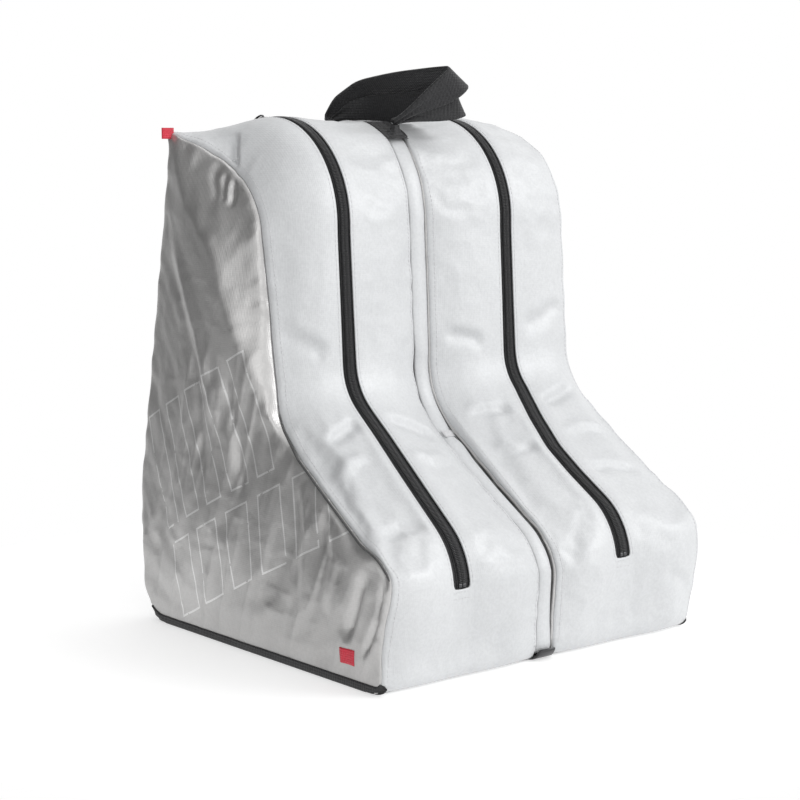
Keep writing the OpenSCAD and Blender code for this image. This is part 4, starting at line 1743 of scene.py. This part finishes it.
def make_label():
    """Plain red woven label low on the left side, sewn round its edge."""
    low, high = packed_box("woven_label")
    rows, cols = 13, 17
    top, bottom = [], []
    for i, z in enumerate(np.linspace(low[2], high[2], rows)):
        for j, y in enumerate(np.linspace(low[1], high[1], cols)):
            hit, _, _, _ = SURFACE["left"].ray_cast(Vector((-250, y, z)), Vector((1, 0, 0)))
            x = hit.x if hit else low[0]
            rim = max(abs(2 * i / (rows - 1) - 1), abs(2 * j / (cols - 1) - 1))
            rise = 0.85 - 0.35 * rim ** 8 - 0.18 * math.exp(-(((rim - 0.82) / 0.06) ** 2))
            top.append((x - rise, y, z))
            bottom.append((x + 0.3, y, z))
    build = Builder()
    build.add(np.array(top + bottom), sheet_faces(rows, cols))
    finish_piece(build.make("red_label_woven"), "red", "bag", ["woven_label"])


# From a seam, or from a zip slit's edge, to the row of stitches beside it
STITCH_INSET = 4.6
ZIP_STITCH_INSET = 2.3


def stitch_seams(side):
    """Rows of thread beside the seams, in front and behind."""
    for face, s, rise in (
        ("front", np.arange(3.0, BASE_FRONT - 14, 2.0), 5.0),
        ("back", np.arange(BASE_BACK + 16, PERIMETER - 4, 2.0), 3.0),
    ):
        build = Builder()
        _, normal = outline(s)
        for which in ("outer", "inner"):
            aside = np.full(len(s), inward(side, which) * STITCH_INSET)
            sew(build, seam_points(side, which, s) + np.c_[aside, normal * rise], [side])
        finish_piece(build.make(f"{side}_{face}_seam_stitching"), "thread", "bag")


def stitch_zip(side):
    """Rows of thread beside a zip, and two across its toe end."""
    build = Builder()
    s = np.arange(ZIP_TOP + 1, ZIP_TOE + 3, 2.0)
    for way in (-1, 1):
        path = on_outline(s, 0.0, 0.4)
        path[:, 0] = SIGN[side] * zip_offset(side, s) + way * (slit_half(s) + ZIP_STITCH_INSET)
        sew(build, path, [side])
    for back in (3.0, 8.0):
        path = on_outline(np.full(14, ZIP_TOE + back), 0.0, 0.4)
        path[:, 0] = zip_x(side, ZIP_TOE) + np.linspace(-9.8, 9.8, 14)
        sew(build, path, [side], 2.0, 0.9)
    finish_piece(build.make(f"{side}_zip_stitching"), "thread", "bag")


def make_bar_tack():
    """Nine close stitches that tie the two middle seams together."""
    build = Builder()
    for k in range(9):
        s = TIE - 3.2 + k * 0.8
        ends = on_outline(np.array([s, s + 0.3]), 0.0, -float(table(INNER_SEAM, s)[0]) - 1.2)
        ends[:, 0] = (-5.6, 5.6)
        build.add(*capsule(ends[0], ends[1], 0.42, (0, -0.5, 0.8)))
    finish_piece(build.make("centre_bar_tack"), "thread", "bag")


make_seam_tapes()
make_centre_strips()
make_base_cloth()
make_edge_tape()
make_base_boards()
make_zips()
make_sliders()
make_pull_tabs()
make_loops()
make_anchors()
make_red_tab()
make_label()
for side in SIDES:
    stitch_seams(side)
    stitch_zip(side)
make_bar_tack()


# ---------------------------------------------------------------- studio
# A small floor, so that the left side mirrors the dark part of the surroundings (m)
FLOOR_RADIUS = 0.50
FLOOR_GLOW = 0.52
# Direction of the dark part, and its dot products with the edge and the core of that part
DARK_WAY = (-0.72, 0.69, 0.45)
DARK_FROM, DARK_FULL = 0.54, 0.97
# Square soft lights as (name, place, power), in metres and watts
LIGHT_SIZE = 1.6
LIGHTS = [("key", (1.8, -2.2, 1.7), 42.0), ("top", (0.6, 0.3, 2.6), 8.0), ("fill", (-1.9, -2.3, 1.3), 7.0)]


def make_studio():
    """Pale floor and surroundings, dark behind the left side, with a soft key from the right."""
    scene = bpy.context.scene
    scene.view_settings.view_transform = "Standard"
    mesh = bpy.data.meshes.new("floor")
    rim = [(FLOOR_RADIUS * math.cos(a), FLOOR_RADIUS * math.sin(a), 0) for a in circle(128)]
    mesh.from_pydata(rim, [], [list(range(len(rim)))])
    floor = bpy.data.objects.new("floor", mesh)
    scene.collection.objects.link(floor)
    floor.location.z = -0.0004
    mat, tree, bsdf = new_material("floor_paper")
    bsdf.inputs["Base Color"].default_value = (0.60, 0.60, 0.60, 1)
    bsdf.inputs["Roughness"].default_value = 0.9
    bsdf.inputs["Emission Color"].default_value = (1, 1, 1, 1)
    bsdf.inputs["Emission Strength"].default_value = FLOOR_GLOW
    floor.data.materials.append(mat)

    world = bpy.data.worlds.new("studio")
    world.use_nodes = True
    tree = world.node_tree
    coord = node(tree, "ShaderNodeTexCoord")
    dot = node(tree, "ShaderNodeVectorMath", operation="DOT_PRODUCT")
    link(tree, coord, "Generated", dot, 0)
    dot.inputs[1].default_value = DARK_WAY
    level = node(tree, "ShaderNodeMapRange")
    level.inputs["From Min"].default_value = DARK_FROM
    level.inputs["From Max"].default_value = DARK_FULL
    level.inputs["To Min"].default_value = 1.0
    level.inputs["To Max"].default_value = 0.04
    link(tree, dot, "Value", level, "Value")
    background = tree.nodes["Background"]
    background.inputs["Color"].default_value = (1, 1, 1, 1)
    link(tree, level, "Result", background, "Strength")
    scene.world = world
    for name, where, power in LIGHTS:
        data = bpy.data.lights.new(name, "AREA")
        data.shape = "SQUARE"
        data.size = LIGHT_SIZE
        data.energy = power
        lamp = bpy.data.objects.new(name, data)
        lamp.location = where
        aim = Vector((0, 0, 0.2)) - Vector(where)
        lamp.rotation_euler = aim.to_track_quat("-Z", "Y").to_euler()
        scene.collection.objects.link(lamp)


make_studio()
